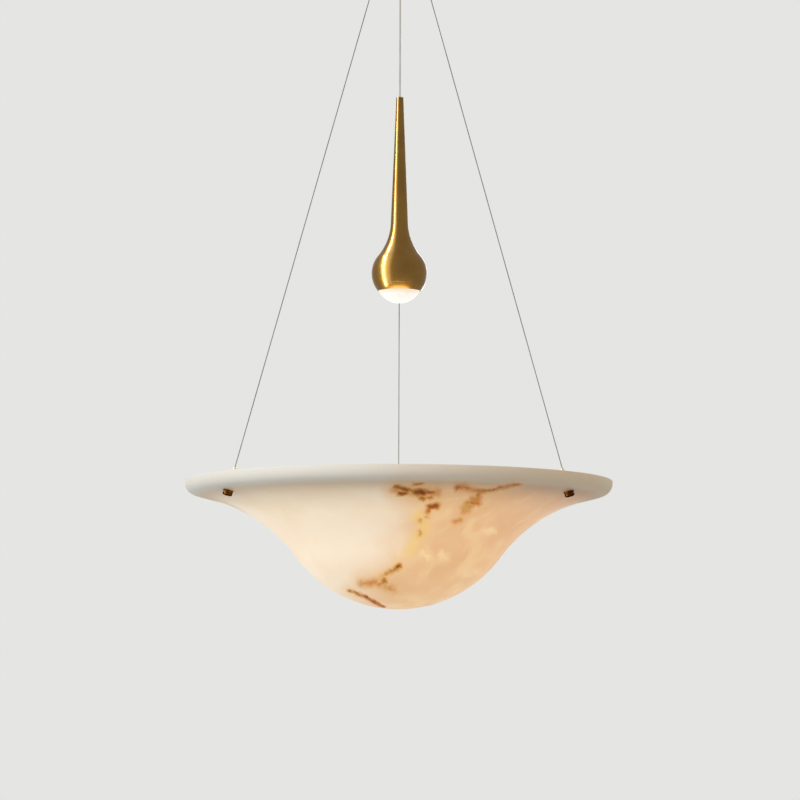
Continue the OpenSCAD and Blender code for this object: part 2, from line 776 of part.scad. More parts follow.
module release_nozzle(bearing) {
  throat_room = 0.35;
  throat = wire_r + throat_room;
  flare_lip = 0.8;
  flare_h = mouth_depth + flare_lip;
  flare_r = nozzle_d / 2 - flare_lip;
  color(brass) at_gripper(bearing) difference() {
    translate([0, 0, -nozzle_out]) cylinder(d = nozzle_d, h = nozzle_out + nozzle_in);
    translate([0, 0, -nozzle_out - over]) cylinder(r = throat, h = nozzle_out + nozzle_in + 2 * over);
    translate([0, 0, -nozzle_out - 0.001]) cylinder(r1 = flare_r, r2 = throat, h = flare_h);
    for (turn = [0, 120, 240]) rotate([0, 0, turn]) translate([0, 0, ball_height]) rotate([0, 90, 0])
      cylinder(r = ball_d / 2 + fit, h = nozzle_d);
  }
}

module grip_balls(bearing) {
  color(steel) at_gripper(bearing) for (turn = [0, 120, 240])
    rotate([0, 0, turn]) translate([ball_orbit, 0, ball_height]) sphere(d = ball_d);
}

module suspension_wire(bearing) {
  color(steel) along_wire(bearing, wire_end_s) cylinder(r = wire_r, h = wire_end_s);
}

// Teardrop spot on its cable
module pendant_cable() {
  color(plastic) translate([0, 0, spot_z + cable_low])
    cylinder(r = cable_r, h = cable_top_z - spot_z - cable_low);
}

module neck_plug() {
  color(brass) translate([0, 0, spot_z + ferrule_top]) difference() {
    washer(plug_r, cable_r + fit, plug_l);
    translate([0, 0, plug_l - neck_screw_up]) rotate([-90, 0, 0])
      cylinder(d = neck_screw_d + 2 * fit, h = plug_r + over);
  }
}

module neck_screw() {
  tip_gap = 0.4;
  start = cable_r + tip_gap;
  color(steel) translate([0, start, spot_z + spot_h - neck_screw_up]) rotate([-90, 0, 0])
    cylinder(d = neck_screw_d, h = neck_r - start - loose);
}

module cable_ferrule() {
  color(steel) translate([0, 0, spot_z + ferrule_low]) difference() {
    cylinder(r = ferrule_r, h = ferrule_l);
    translate([0, 0, ferrule_l / 2]) cylinder(r = cable_r + fit, h = ferrule_l);
  }
}

module led_leads() {
  color("firebrick") for (x = [-lead_x, lead_x])
    translate([x, 0, spot_z + board_top]) cylinder(d = lead_d, h = ferrule_low - board_top);
}

module teardrop_shell() {
  outer = concat(
    side(bezel_h, 0),
    arc(neck_top - [neck_edge_r, neck_edge_r], neck_edge_r, 0, 90)
  );
  inner_top = [neck_r - shell_wall, spot_h];
  inner = concat(
    [inner_top], reversed(side(shoulder_h, shell_wall)), [[land_r, shoulder_h], [land_r, bezel_h]]
  );
  color(brass) translate([0, 0, spot_z]) difference() {
    rotate_extrude() polygon(concat(outer, inner));
    translate([0, 0, spot_h - neck_screw_up]) rotate([-90, 0, 0])
      cylinder(d = neck_screw_d + 2 * fit, h = neck_r + over);
  }
}

module bezel_ring() {
  outer = arc(bulb_centre, bulb_r, bulb_angle(0, 0), bulb_angle(bezel_h, 0));
  profile = concat(
    outer,
    [
      [spigot_r, bezel_h], [spigot_r, spigot_top], [bezel_bore_r, spigot_top],
      [bezel_bore_r, lip_h], [mouth_r - lip_w, lip_h], [mouth_r - lip_w, 0]
    ]
  );
  color(brass) translate([0, 0, spot_z]) rotate_extrude() polygon(profile);
}

module lens() {
  dome_r = (pow(lens_r, 2) + pow(dome_h, 2)) / (2 * dome_h);
  half = asin(lens_r / dome_r);
  flange_r = bezel_bore_r - loose;
  profile = concat(
    arc([0, dome_r - dome_h], dome_r, -90, -90 + half),
    [[lens_r, lip_h], [flange_r, lip_h], [flange_r, lens_top], [0, lens_top]]
  );
  color("lightcyan") translate([0, 0, spot_z]) rotate_extrude() polygon(profile);
}

module lens_gasket() {
  r = bezel_bore_r - loose;
  color(dark) translate([0, 0, spot_z + lens_top]) washer(r, r - gasket_w, gasket_t);
}

module reflector() {
  flange_r = bezel_bore_r - loose;
  gasket_step = 0.4;
  emitter_room = 1;
  low_r = flange_r - gasket_w - gasket_step;
  top_r = emitter_d / 2 + emitter_room;
  profile = [
    [low_r, gasket_top], [flange_r, gasket_top], [flange_r, gasket_top + reflector_flange_t],
    [low_r + reflector_wall, gasket_top + reflector_flange_t],
    [top_r + reflector_wall, reflector_top + emitter_t], [top_r, reflector_top + emitter_t]
  ];
  color(alu) translate([0, 0, spot_z]) rotate_extrude() polygon(profile);
}

module led_emitter() {
  color("khaki") translate([0, 0, spot_z + reflector_top]) cylinder(d = emitter_d, h = emitter_t);
}

// Puts what is drawn at the origin at each board screw
module at_board_screws() {
  for (i = [0:board_screw_count - 1]) rotate([0, 0, 30 + 360 * i / board_screw_count])
    translate([board_screw_r, 0, spot_z]) children();
}

module led_board() {
  color("whitesmoke") difference() {
    translate([0, 0, spot_z + emitter_top]) cylinder(r = board_r, h = board_t);
    at_board_screws() translate([0, 0, emitter_top - over])
      cylinder(r = board_screw_d / 2 + loose, h = board_t + 2 * over);
  }
}

module board_screws() {
  plate_left = 1;
  tip = pad_top + sink_plate_t - plate_left;
  color(steel) at_board_screws() {
    translate([0, 0, emitter_top - board_head_t]) cylinder(r = board_head_r, h = board_head_t);
    translate([0, 0, emitter_top - board_head_t])
      cylinder(d = board_screw_d, h = tip - emitter_top + board_head_t);
  }
}

module thermal_pad() {
  color("lightsteelblue") difference() {
    translate([0, 0, spot_z + board_top]) cylinder(r = board_r, h = pad_t);
    translate([0, 0, spot_z + board_top - over]) cylinder(r = lead_hole_r, h = pad_t + 2 * over);
    at_board_screws() translate([0, 0, board_top - over])
      cylinder(r = board_screw_d / 2 + loose, h = pad_t + 2 * over);
  }
}

// Heat sink: a cup whose flange is clamped between the bezel's spigot and the shell's shoulder
module heat_sink() {
  cup = [
    [cup_r, spigot_top], [land_r - loose, spigot_top], [land_r - loose, shoulder_h],
    [cup_out_r, shoulder_h], [cup_out_r, plate_top], [0, plate_top], [0, pad_top], [cup_r, pad_top]
  ];
  color(alu) difference() {
    union() {
      translate([0, 0, spot_z]) rotate_extrude() polygon(cup);
      for (i = [0:fin_count - 1]) rotate([0, 0, 360 * i / fin_count])
        translate([fin_start, -fin_t / 2, spot_z + plate_top - fin_root])
          cube([fin_r - fin_start, fin_t, fin_h + fin_root]);
    }
    translate([0, 0, spot_z + pad_top - over]) cylinder(r = lead_hole_r, h = sink_plate_t + 2 * over);
    at_board_screws() translate([0, 0, pad_top - over])
      cylinder(r = board_screw_d / 2 + fit, h = sink_plate_t + over);
  }
}

// Bowl
module stone_bowl() {
  color(stone) difference() {
    translate([0, 0, bowl_z]) rotate_extrude()
      polygon(concat(bowl_outer, rim_edge, reversed(bowl_inner)));
    for (b = BEARINGS) {
      along_wire(b, seat_s + over) cylinder(d = bush_hole_d, h = seat_s - collar_s + 2 * over);
      along_wire(b, seat_s + 2 * over) cylinder(r = washer_seat_r, h = 2 * over);
      along_wire(b, collar_s) cylinder(r = collar_seat_r, h = 2 * over);
    }
  }
}

module bowl_bush(bearing) {
  tube_l = seat_s - loose - collar_s;
  bore_r = bush_d / 2 - bush_wall;
  color(brass) along_wire(bearing, collar_s) difference() {
    union() {
      cylinder(d = bush_collar_d, h = bush_collar_t);
      translate([0, 0, -tube_l]) cylinder(d = bush_d, h = tube_l + over / 2);
    }
    translate([0, 0, -tube_l - over]) cylinder(r = bore_r, h = tube_l + bush_collar_t + 2 * over);
  }
}

module stop_washers() {
  washer_room = 0.4;
  color(dark) for (b = BEARINGS) along_wire(b, stop_s)
    washer(washer_d / 2, stop_bore_r + washer_room, washer_t);
}

module wire_stop(bearing) {
  r = stop_d / 2;
  side = concat(
    [[0, -stop_l]],
    arc([r - stop_edge, -stop_l + stop_edge], stop_edge, -90, 0),
    [[r, 0], [0, 0]]
  );
  color(brass) along_wire(bearing, stop_s) difference() {
    rotate_extrude() polygon(side);
    translate([0, 0, -stop_l + stop_floor]) cylinder(r = stop_bore_r, h = stop_l);
    translate([0, 0, -stop_l / 2]) rotate([0, 90, 0]) cylinder(d = stop_screw_d + 2 * fit, h = r + over);
  }
}

module stop_screws() {
  tip = stop_bore_r - run;
  color(steel) for (b = BEARINGS) along_wire(b, stop_s + stop_l / 2)
    translate([tip, 0, 0]) rotate([0, 90, 0]) cylinder(d = stop_screw_d, h = stop_d / 2 - tip - gap);
}

ceiling_bracket();
canopy_shell();
canopy_side_screws();
earth_screw();
driver_case();
driver_lid();
driver_board();
terminal_block();
terminal_screws();
supply_lead();
canopy_lead();
outlet_body();
outlet_nut();
outlet_cap();
gripper_barrel(REAR);  // gripper_barrel_rear
gripper_barrel(LEFT);  // gripper_barrel_left
gripper_barrel(RIGHT);  // gripper_barrel_right
gripper_spring(REAR);  // gripper_spring_rear
gripper_spring(LEFT);  // gripper_spring_left
gripper_spring(RIGHT);  // gripper_spring_right
gripper_nuts();
wire_tails();
release_nozzle(REAR);  // release_nozzle_rear
release_nozzle(LEFT);  // release_nozzle_left
release_nozzle(RIGHT);  // release_nozzle_right
grip_balls(REAR);  // grip_balls_rear
grip_balls(LEFT);  // grip_balls_left
grip_balls(RIGHT);  // grip_balls_right
suspension_wire(REAR);  // suspension_wire_rear
suspension_wire(LEFT);  // suspension_wire_left
suspension_wire(RIGHT);  // suspension_wire_right
swivel_ball();
cable_stop();
pendant_cable();
neck_plug();
neck_screw();
cable_ferrule();
led_leads();
teardrop_shell();
bezel_ring();
lens();
lens_gasket();
reflector();
led_emitter();
led_board();
board_screws();
thermal_pad();
heat_sink();
stone_bowl();
bowl_bush(REAR);  // bowl_bush_rear
bowl_bush(LEFT);  // bowl_bush_left
bowl_bush(RIGHT);  // bowl_bush_right
wire_stop(REAR);  // wire_stop_rear
wire_stop(LEFT);  // wire_stop_left
wire_stop(RIGHT);  // wire_stop_right
stop_washers();
stop_screws();
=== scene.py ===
import json
import math

import bpy
from mathutils import Matrix, Vector, noise


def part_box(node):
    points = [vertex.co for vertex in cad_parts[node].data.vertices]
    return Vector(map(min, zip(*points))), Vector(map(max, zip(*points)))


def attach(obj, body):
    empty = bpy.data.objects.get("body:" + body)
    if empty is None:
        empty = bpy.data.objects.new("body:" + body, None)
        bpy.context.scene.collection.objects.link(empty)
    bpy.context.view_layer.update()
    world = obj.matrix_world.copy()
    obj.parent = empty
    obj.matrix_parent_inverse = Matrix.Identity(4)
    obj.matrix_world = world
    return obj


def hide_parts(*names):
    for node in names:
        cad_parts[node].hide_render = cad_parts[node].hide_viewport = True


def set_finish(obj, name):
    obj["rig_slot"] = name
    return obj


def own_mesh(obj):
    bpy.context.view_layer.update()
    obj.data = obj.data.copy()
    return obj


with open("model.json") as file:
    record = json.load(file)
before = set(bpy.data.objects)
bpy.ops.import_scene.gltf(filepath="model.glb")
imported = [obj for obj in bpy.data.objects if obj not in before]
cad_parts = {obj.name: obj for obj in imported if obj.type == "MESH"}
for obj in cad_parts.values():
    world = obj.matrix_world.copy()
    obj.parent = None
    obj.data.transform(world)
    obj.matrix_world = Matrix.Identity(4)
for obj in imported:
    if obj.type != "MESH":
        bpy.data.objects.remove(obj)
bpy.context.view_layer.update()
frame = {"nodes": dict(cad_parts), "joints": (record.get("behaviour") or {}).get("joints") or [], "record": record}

MM = 0.001
# A length that counts as nought
TINY = 1e-6
SIDES = ("rear", "left", "right")
JOINTS = {joint["name"]: joint for joint in frame["joints"]}

# Driving sizes in millimetres and degrees. The places come from the frame.
ARC_STEP = 0.75
RIM_STEP = 4
LIP_STEP = 10
BUSH_STEP = 15
DOME_STEP = 1
SHARP = 35
ROUND_SEGMENTS = 192
BOWL_SEGMENTS = 384
TOOL_SEGMENTS = 64
BOWL = {
    "base_r": 177,
    "wall": 12,
    "slope": 14.5,
    "slope_in": 16,
    "run": 25.2,
    "run_in": 20,
    "land_w": 12,
    "rim_r": 15.4,
    "rim_face": 2.7,
    "rim_top_r": 1,
    "face": 3,
    "uneven": 0.25,
    "uneven_from_r": 20,
    "waves_per_metre": 11,
}
WIRE = {"diameter": 1.5, "lay": 10, "strands": 6, "rings_per_lay": 8, "points_per_strand": 4, "sharp": 60}
TILT_ROUNDS = 6
SEATS = {"bush_r": 3.2, "washer_r": 7.7, "collar_r": 4.7, "depth": 12, "hole_past": 1, "wire_past": 5.3}
BUSH = {
    "collar_r": 4.5,
    "collar_h": 1.2,
    "neck_r": 1.9,
    "neck_h": 15.5,
    "bore_r": 1.4,
    "tube_r": 3,
    "edge": 0.4,
    "over_washer": 0.3,
    "segments": 64,
}
CABLE = {"diameter": 2.5, "sides": 20, "ring_gap": 6}
SPRING = {"wire_d": 0.6, "turns": 4, "rings_per_turn": 30, "sides": 10}
SPOT = {
    "mouth_r": 30,
    "blend_r": 78,
    "shoulder": 39.6,
    "neck_edge_r": 0.6,
    "neck_gap": 4,
    "plug_gap": 0.05,
    "wall": 1.2,
    "land_h": 10,
    "lip_w": 0.9,
    "lip_h": 3,
    "lip_edge": 0.2,
    "seam_r": 0.15,
    "spigot_wall": 1.5,
    "bore_gap": 0.2,
    "lens_gap": 0.3,
    "screw_d": 3.1,
}


# Camera, at the photograph's viewing angle
CAMERA_AWAY = 6.0
CAMERA_BELOW_RIM = 0.4743
CAMERA_RIGHT = 0.0016
CAMERA_PITCH = math.radians(5.6065)
CAMERA_ROLL = math.radians(0.19)
CAMERA_LENS = 193.06
CAMERA_SENSOR = 36


def add_object(name, data):
    made = bpy.data.objects.new(name, data)
    bpy.context.scene.collection.objects.link(made)
    return made


def camera_place():
    return Vector((CAMERA_RIGHT, -CAMERA_AWAY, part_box("stone_bowl")[1].z - CAMERA_BELOW_RIM))


def make_camera():
    data = bpy.data.cameras.new("camera")
    data.lens = CAMERA_LENS
    data.sensor_width = CAMERA_SENSOR
    camera = add_object("camera", data)
    pitch = Matrix.Rotation(math.pi / 2 + CAMERA_PITCH, 4, "X")
    camera.matrix_world = Matrix.Translation(camera_place()) @ pitch @ Matrix.Rotation(CAMERA_ROLL, 4, "Z")
    bpy.context.scene.camera = camera


# Mesh helpers
def soften(mesh, sharp):
    """Shades a mesh smooth, apart from edges sharper than an angle."""
    mesh.shade_smooth()
    mesh.set_sharp_from_angle(angle=math.radians(sharp))


def new_piece(name, verts, faces, body, slot, node, sharp=SHARP):
    """A smooth piece that rides on a body and stands for a CAD node."""
    mesh = bpy.data.meshes.new(name)
    mesh.from_pydata(verts, [], faces)
    mesh.update()
    mesh.validate()
    soften(mesh, sharp)
    piece = add_object(name, mesh)
    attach(piece, body)
    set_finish(piece, slot)
    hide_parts(node)
    return piece


def arc(centre, radius, start, end, step=ARC_STEP):
    """Points of an arc about a centre, from one angle to another, in degrees."""
    count = max(2, math.ceil(abs(end - start) / step))
    turns = [math.radians(start + (end - start) * i / count) for i in range(count + 1)]
    return [(centre[0] + radius * math.cos(a), centre[1] + radius * math.sin(a)) for a in turns]


def circle(radius, sides):
    return arc((0, 0), radius, 0, 360, 360 / sides)[:-1]


def revolve(profile, segments, low_z):
    """Vertices and faces of a closed outline in millimetres turned about the vertical axis."""
    verts, rows = [], []
    for r, h in profile:
        z = low_z + h * MM
        if r < TINY:
            rows.append([len(verts)] * segments)
            verts.append((0, 0, z))
            continue
        rows.append(list(range(len(verts), len(verts) + segments)))
        for i in range(segments):
            a = 2 * math.pi * i / segments
            verts.append((r * MM * math.cos(a), r * MM * math.sin(a), z))
    faces = []
    for k, row in enumerate(rows):
        above = rows[(k + 1) % len(rows)]
        for i in range(segments):
            j = (i + 1) % segments
            ring = [row[i], row[j], above[j], above[i]]
            face = [v for n, v in enumerate(ring) if v != ring[n - 1]]
            if len(face) > 2:
                faces.append(face)
    return verts, faces


def cylinder_tool(name, radius, length, matrix):
    """A closed cylinder from the origin along -Z of a matrix, in metres. It is a cutting tool."""
    count = TOOL_SEGMENTS
    turns = [2 * math.pi * i / count for i in range(count)]
    rings = [[(radius * math.cos(a), radius * math.sin(a), z) for a in turns] for z in (-length, 0)]
    verts = [matrix @ Vector(p) for ring in rings for p in ring]
    sides = [(i, (i + 1) % count, count + (i + 1) % count, count + i) for i in range(count)]
    ends = [tuple(reversed(range(count))), tuple(range(count, 2 * count))]
    mesh = bpy.data.meshes.new(name)
    mesh.from_pydata(verts, [], sides + ends)
    return add_object(name, mesh)


def cut(piece, tools):
    """Cuts the tools out of the piece and removes them."""
    for tool in tools:
        cutter = piece.modifiers.new(tool.name, "BOOLEAN")
        cutter.operation = "DIFFERENCE"
        cutter.solver = "EXACT"
        cutter.object = tool
    seen = bpy.context.evaluated_depsgraph_get()
    mesh = bpy.data.meshes.new_from_object(piece.evaluated_get(seen))
    piece.modifiers.clear()
    old = piece.data
    piece.data = mesh
    bpy.data.meshes.remove(old)
    mesh.name = piece.name
    soften(mesh, SHARP)
    for tool in tools:
        bpy.data.objects.remove(tool)


def tube_faces(count, sides):
    """Faces of a tube of rings, one more than count, closed at both ends."""
    faces = []
    for i in range(count):
        for k in range(sides):
            a, b = i * sides + k, i * sides + (k + 1) % sides
            faces.append((a, a + sides, b + sides, b))
    faces.append(tuple(range(sides)))
    faces.append(tuple(reversed(range(count * sides, (count + 1) * sides))))
    return faces


def straight_tube(start, end, outline, ring_gap, lay=None):
    """Rings along a straight line, closed at both ends, and the rings' centres.
    outline is the section's points in metres, which turn once round in each lay."""
    start, end = Vector(start), Vector(end)
    length = (end - start).length
    count = max(2, round(length / ring_gap))
    across = (start - end).to_track_quat("Z", "Y").to_matrix()
    centres = [start.lerp(end, i / count) for i in range(count + 1)]
    verts = []
    for i, centre in enumerate(centres):
        twist = 2 * math.pi * (length * i / count) / lay if lay else 0
        spin = Matrix.Rotation(twist, 3, "Z")
        verts += [centre + across @ (spin @ Vector((x, y, 0))) for x, y in outline]
    return verts, tube_faces(count, len(outline)), centres


# Cords: three stranded suspension wires and the spot's cable
def strand_outline():
    """Section of a wire of even strands that lie round its axis."""
    orbit = WIRE["diameter"] * MM / 3
    strand = WIRE["diameter"] * MM / 2 - orbit
    points = []
    for s in range(WIRE["strands"]):
        for k in range(WIRE["points_per_strand"]):
            off = math.pi / WIRE["strands"] * (2 * k / WIRE["points_per_strand"] - 1)
            r = orbit * math.cos(off) + math.sqrt(max(0, strand ** 2 - (orbit * math.sin(off)) ** 2))
            a = 2 * math.pi * s / WIRE["strands"] + off
            points.append((r * math.cos(a), r * math.sin(a)))
    return points


def wire_tilt_and_length():
    """The rear wire lies in the plane x = 0, so its box gives its tilt and its length."""
    low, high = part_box("suspension_wire_rear")
    size, thick, tilt = high - low, WIRE["diameter"] * MM, 0
    for _ in range(TILT_ROUNDS):
        tilt = math.atan2(size.y - thick * math.cos(tilt), size.z - thick * math.sin(tilt))
    return tilt, (size.z - thick * math.sin(tilt)) / math.cos(tilt)


def wire_line(side):
    """Start of a wire, and its direction downwards and outwards."""
    start = Vector(JOINTS[f"wire_{side}_sway"]["pos_m"])
    out = Vector((start.x, start.y, 0)).normalized()
    return start, (out * math.sin(WIRE_TILT) + Vector((0, 0, -math.cos(WIRE_TILT)))).normalized()


def make_wire(side):
    start, down = wire_line(side)
    lay = WIRE["lay"] * MM
    verts, faces, centres = straight_tube(
        start, start + down * WIRE_LENGTH, strand_outline(), lay / WIRE["rings_per_lay"], lay)
    wire = new_piece(f"stranded_wire_{side}", verts, faces, f"wire_{side}", "wire_steel",
                     f"suspension_wire_{side}", WIRE["sharp"])
    return wire


def make_cable():
    low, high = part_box("pendant_cable")
    outline = circle(CABLE["diameter"] * MM / 2, CABLE["sides"])
    verts, faces, centres = straight_tube((0, 0, high.z), (0, 0, low.z), outline, CABLE["ring_gap"] * MM)
    cable = new_piece("cable_jacket", verts, faces, "spot", "cable", "pendant_cable")
    return cable


WIRE_TILT, WIRE_LENGTH = wire_tilt_and_length()
make_camera()
cords = [make_wire(side) for side in SIDES] + [make_cable()]


# Bowl outline, in millimetres from the axis and from the bowl's lowest point
bowl_low, bowl_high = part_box("stone_bowl")
bowl_r = bowl_high.x / MM
bowl_h = (bowl_high.z - bowl_low.z) / MM


def s_curve(end, slope, run, radius):
    """A bottom arc, a hollow arc and a straight flange line that meet smoothly and end at a point."""
    a = math.radians(slope)
    centre = Vector((0, BOWL["base_r"]))
    start = Vector(end) - run * Vector((math.cos(a), math.sin(a)))
    below = Vector((math.sin(a), -math.cos(a)))
    away = start - centre
    hollow = (away.dot(away) - radius ** 2) / (2 * (radius - away.dot(below)))
    hollow_centre = start + hollow * below
    apart = hollow_centre - centre
    meet = math.degrees(math.atan2(apart.x, -apart.y))
    bottom = arc(centre, radius, -90, -90 + meet)
    return bottom + arc(hollow_centre, hollow, 90 + meet, 90 + slope) + [tuple(end)]


def bowl_outlines():
    """The outer curve from the bottom to the flange's end, the rim's edge, and the inner curve."""
    rim_r, top_r = BOWL["rim_r"], BOWL["rim_top_r"]
    rim_h = bowl_h - top_r - BOWL["rim_face"]
    slope = math.radians(BOWL["slope"])
    flange_end = (bowl_r - rim_r * (1 - math.sin(slope)), rim_h - rim_r * math.cos(slope))
    outer = s_curve(flange_end, BOWL["slope"], BOWL["run"], BOWL["base_r"])
    edge = arc((bowl_r - rim_r, rim_h), rim_r, -90 + BOWL["slope"], 0, RIM_STEP)
    edge += arc((bowl_r - top_r, bowl_h - top_r), top_r, 0, 90, LIP_STEP)
    land = (bowl_r - BOWL["land_w"], bowl_h)
    inner = s_curve(land, BOWL["slope_in"], BOWL["run_in"], BOWL["base_r"] - BOWL["wall"])
    return outer, edge, inner


def spread_line(start, end, gap):
    """Points between two points, so that a flat stretch has faces about as long as its neighbours."""
    count = max(1, round(math.dist(start, end) / gap))
    return [tuple(Vector(start).lerp(Vector(end), i / count)) for i in range(1, count)]


def even(outline, gap):
    """The outline with its long stretches divided."""
    made = [outline[0]]
    for before, after in zip(outline, outline[1:]):
        made += spread_line(before, after, gap) + [after]
    return made


def along_wire(side, distance):
    """A frame on a wire, its Z axis up the wire, at a distance in metres from its start."""
    start, down = wire_line(side)
    turn = (-down).to_track_quat("Z", "Y").to_matrix().to_4x4()
    return Matrix.Translation(start + down * distance) @ turn


def seat_distances():
    """How far down a wire, in metres, its bush's collar and its washer sit."""
    start = wire_line("rear")[0]
    rim = (start.z - bowl_high.z) / math.cos(WIRE_TILT)
    reach = start.y + rim * math.sin(WIRE_TILT)
    slope = math.tan(math.radians(BOWL["slope_in"]))
    below = ((bowl_r - BOWL["land_w"]) * MM - reach) * slope / (
        math.cos(WIRE_TILT) + math.sin(WIRE_TILT) * slope)
    tilted = SEATS["collar_r"] * MM * abs(math.tan(WIRE_TILT - math.radians(BOWL["slope_in"])))
    return rim + below + tilted, WIRE_LENGTH - SEATS["wire_past"] * MM


def uneven(verts):
    """Draws the stone's surface in by a fraction of a millimetre, as hand honing does."""
    for v in verts:
        out = Vector((v.x, v.y, 0))
        if out.length > BOWL["uneven_from_r"] * MM:
            share = 0.5 + 0.5 * noise.noise(v * BOWL["waves_per_metre"])
            v -= out.normalized() * BOWL["uneven"] * MM * share


def make_bowl():
    outer, edge, inner = bowl_outlines()
    land = spread_line(edge[-1], inner[-1], BOWL["face"])
    outline = even(outer, BOWL["face"]) + edge[1:] + land + list(reversed(even(inner, BOWL["face"])))
    verts, faces = revolve(outline, BOWL_SEGMENTS, bowl_low.z)
    verts = [Vector(v) for v in verts]
    uneven(verts)
    bowl = new_piece("carved_bowl", verts, faces, "bowl", "stone", "stone_bowl")
    collar, seat = seat_distances()
    past, depth = SEATS["hole_past"] * MM, SEATS["depth"] * MM
    holes = (("bush", seat - collar + 2 * past, collar - past), ("washer", depth, seat),
             ("collar", depth, collar - depth))
    tools = [cylinder_tool(f"{name}_hole", SEATS[f"{name}_r"] * MM, length, along_wire(side, start))
             for side in SIDES for name, length, start in holes]
    cut(bowl, tools)
    return bowl


def make_bush(side):
    """A bush with a collar on the flange and a thin sleeve up the wire, which shows just above the rim."""
    collar, seat = seat_distances()
    foot = -(seat - collar) / MM + BUSH["over_washer"]
    r, edge = BUSH["collar_r"], BUSH["edge"]
    outline = [(BUSH["bore_r"], foot), (BUSH["tube_r"], foot), (BUSH["tube_r"], 0), (r, 0)]
    outline += arc((r - edge, BUSH["collar_h"] - edge), edge, 0, 90, BUSH_STEP)
    outline += [(BUSH["neck_r"] + edge, BUSH["collar_h"])]
    outline += arc((BUSH["neck_r"] - edge, BUSH["neck_h"] - edge), edge, 0, 90, BUSH_STEP)
    outline += [(BUSH["bore_r"], BUSH["neck_h"])]
    verts, faces = revolve(outline, BUSH["segments"], 0)
    matrix = along_wire(side, collar)
    verts = [matrix @ Vector(v) for v in verts]
    return new_piece(f"sleeved_bush_{side}", verts, faces, "bowl", "brass", f"bowl_bush_{side}")


def make_spring(side):
    """A gripper's coil spring, with the release nozzle under it."""
    node = f"gripper_spring_{side}"
    low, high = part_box(node)
    half = SPRING["wire_d"] * MM / 2
    r = max(high.x - low.x, high.y - low.y) / 2 - half
    axis = Vector(JOINTS[f"wire_{side}_sway"]["pos_m"])
    count = SPRING["turns"] * SPRING["rings_per_turn"]
    section = circle(half, SPRING["sides"])
    verts = []
    for i in range(count + 1):
        turn = 2 * math.pi * i / SPRING["rings_per_turn"]
        out = Vector((math.cos(turn), math.sin(turn), 0))
        z = low.z + half + (high.z - low.z - 2 * half) * i / count
        middle = Vector((axis.x, axis.y, z)) + r * out
        verts += [middle + x * out + Vector((0, 0, y)) for x, y in section]
    faces = tube_faces(count, SPRING["sides"])
    spring = new_piece(f"coil_spring_{side}", verts, faces, "root", "steel", node)
    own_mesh(spring)
    return spring


# Teardrop spot, in millimetres from the axis and from the spot's lower edge
bezel_low, bezel_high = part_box("bezel_ring")
shell_low, shell_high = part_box("teardrop_shell")
lens_low, lens_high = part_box("lens")
spot_z = bezel_low.z
spot_top = (shell_high.z - spot_z) / MM
seam_h = (shell_low.z - spot_z) / MM
bulb_r = shell_high.x / MM
bulb_up = math.sqrt(bulb_r ** 2 - SPOT["mouth_r"] ** 2)
dome_h = (spot_z - lens_low.z) / MM
lens_top = (lens_high.z - spot_z) / MM
spigot_top = (bezel_high.z - spot_z) / MM
bezel_bore = lens_high.x / MM + SPOT["bore_gap"]


def bulb_angle(h, inset):
    return math.degrees(math.asin((h - bulb_up) / (bulb_r - inset)))


def teardrop_side(h, inset, neck_r, top):
    """The bulb from a height up, the hollow curve and the neck, drawn in by inset."""
    turn = math.radians(SPOT["shoulder"])
    reach = bulb_r + SPOT["blend_r"]
    centre = Vector((reach * math.cos(turn), bulb_up + reach * math.sin(turn)))
    line = Vector((neck_r + inset, top)) - centre
    neck = math.degrees(math.atan2(line.y, line.x) + math.acos(SPOT["blend_r"] / line.length)) % 360
    bulb = arc((0, bulb_up), bulb_r - inset, bulb_angle(h, inset), SPOT["shoulder"])
    return bulb + arc(centre, SPOT["blend_r"] + inset, 180 + SPOT["shoulder"], neck)


def make_teardrop():
    wall = SPOT["wall"]
    neck_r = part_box("neck_plug")[1].x / MM + SPOT["plug_gap"] + wall
    edge = SPOT["neck_edge_r"]
    seam = SPOT["seam_r"]
    land_h = seam_h + SPOT["land_h"]
    outer = teardrop_side(seam_h + seam, 0, neck_r, spot_top)
    neck = spread_line(outer[-1], (neck_r, spot_top - edge), SPOT["neck_gap"])
    lip = arc((neck_r - edge, spot_top - edge), edge, 0, 90, LIP_STEP)
    inner = teardrop_side(land_h, wall, neck_r, spot_top)
    land_r = outer[0][0] - 2 * wall
    outline = outer + neck + lip + [(neck_r - wall, spot_top)] + list(reversed(inner))
    outline += [(land_r, land_h), (land_r, seam_h), (outer[0][0] - seam, seam_h)]
    verts, faces = revolve(outline, ROUND_SEGMENTS, spot_z)
    drop = new_piece("brushed_teardrop", verts, faces, "spot", "brass", "teardrop_shell")
    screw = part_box("neck_screw")
    middle = (screw[0] + screw[1]) / 2
    turn = Matrix.Translation((0, 2 * neck_r * MM, middle.z)) @ Matrix.Rotation(-math.pi / 2, 4, "X")
    cut(drop, [cylinder_tool("neck_hole", SPOT["screw_d"] / 2 * MM, 2 * neck_r * MM, turn)])
    return drop


def make_bezel():
    seam = SPOT["seam_r"]
    outer = arc((0, bulb_up), bulb_r, bulb_angle(0, 0), bulb_angle(seam_h - seam, 0))
    spigot_r = bezel_bore + SPOT["spigot_wall"]
    lip_r = SPOT["mouth_r"] - SPOT["lip_w"]
    outline = outer + [
        (outer[-1][0] - seam, seam_h), (spigot_r, seam_h), (spigot_r, spigot_top), (bezel_bore, spigot_top),
        (bezel_bore, SPOT["lip_h"]), (lip_r, SPOT["lip_h"]), (lip_r, SPOT["lip_edge"]),
        (lip_r + SPOT["lip_edge"], 0)]
    verts, faces = revolve(outline, ROUND_SEGMENTS, spot_z)
    return new_piece("brushed_bezel", verts, faces, "spot", "brass", "bezel_ring")


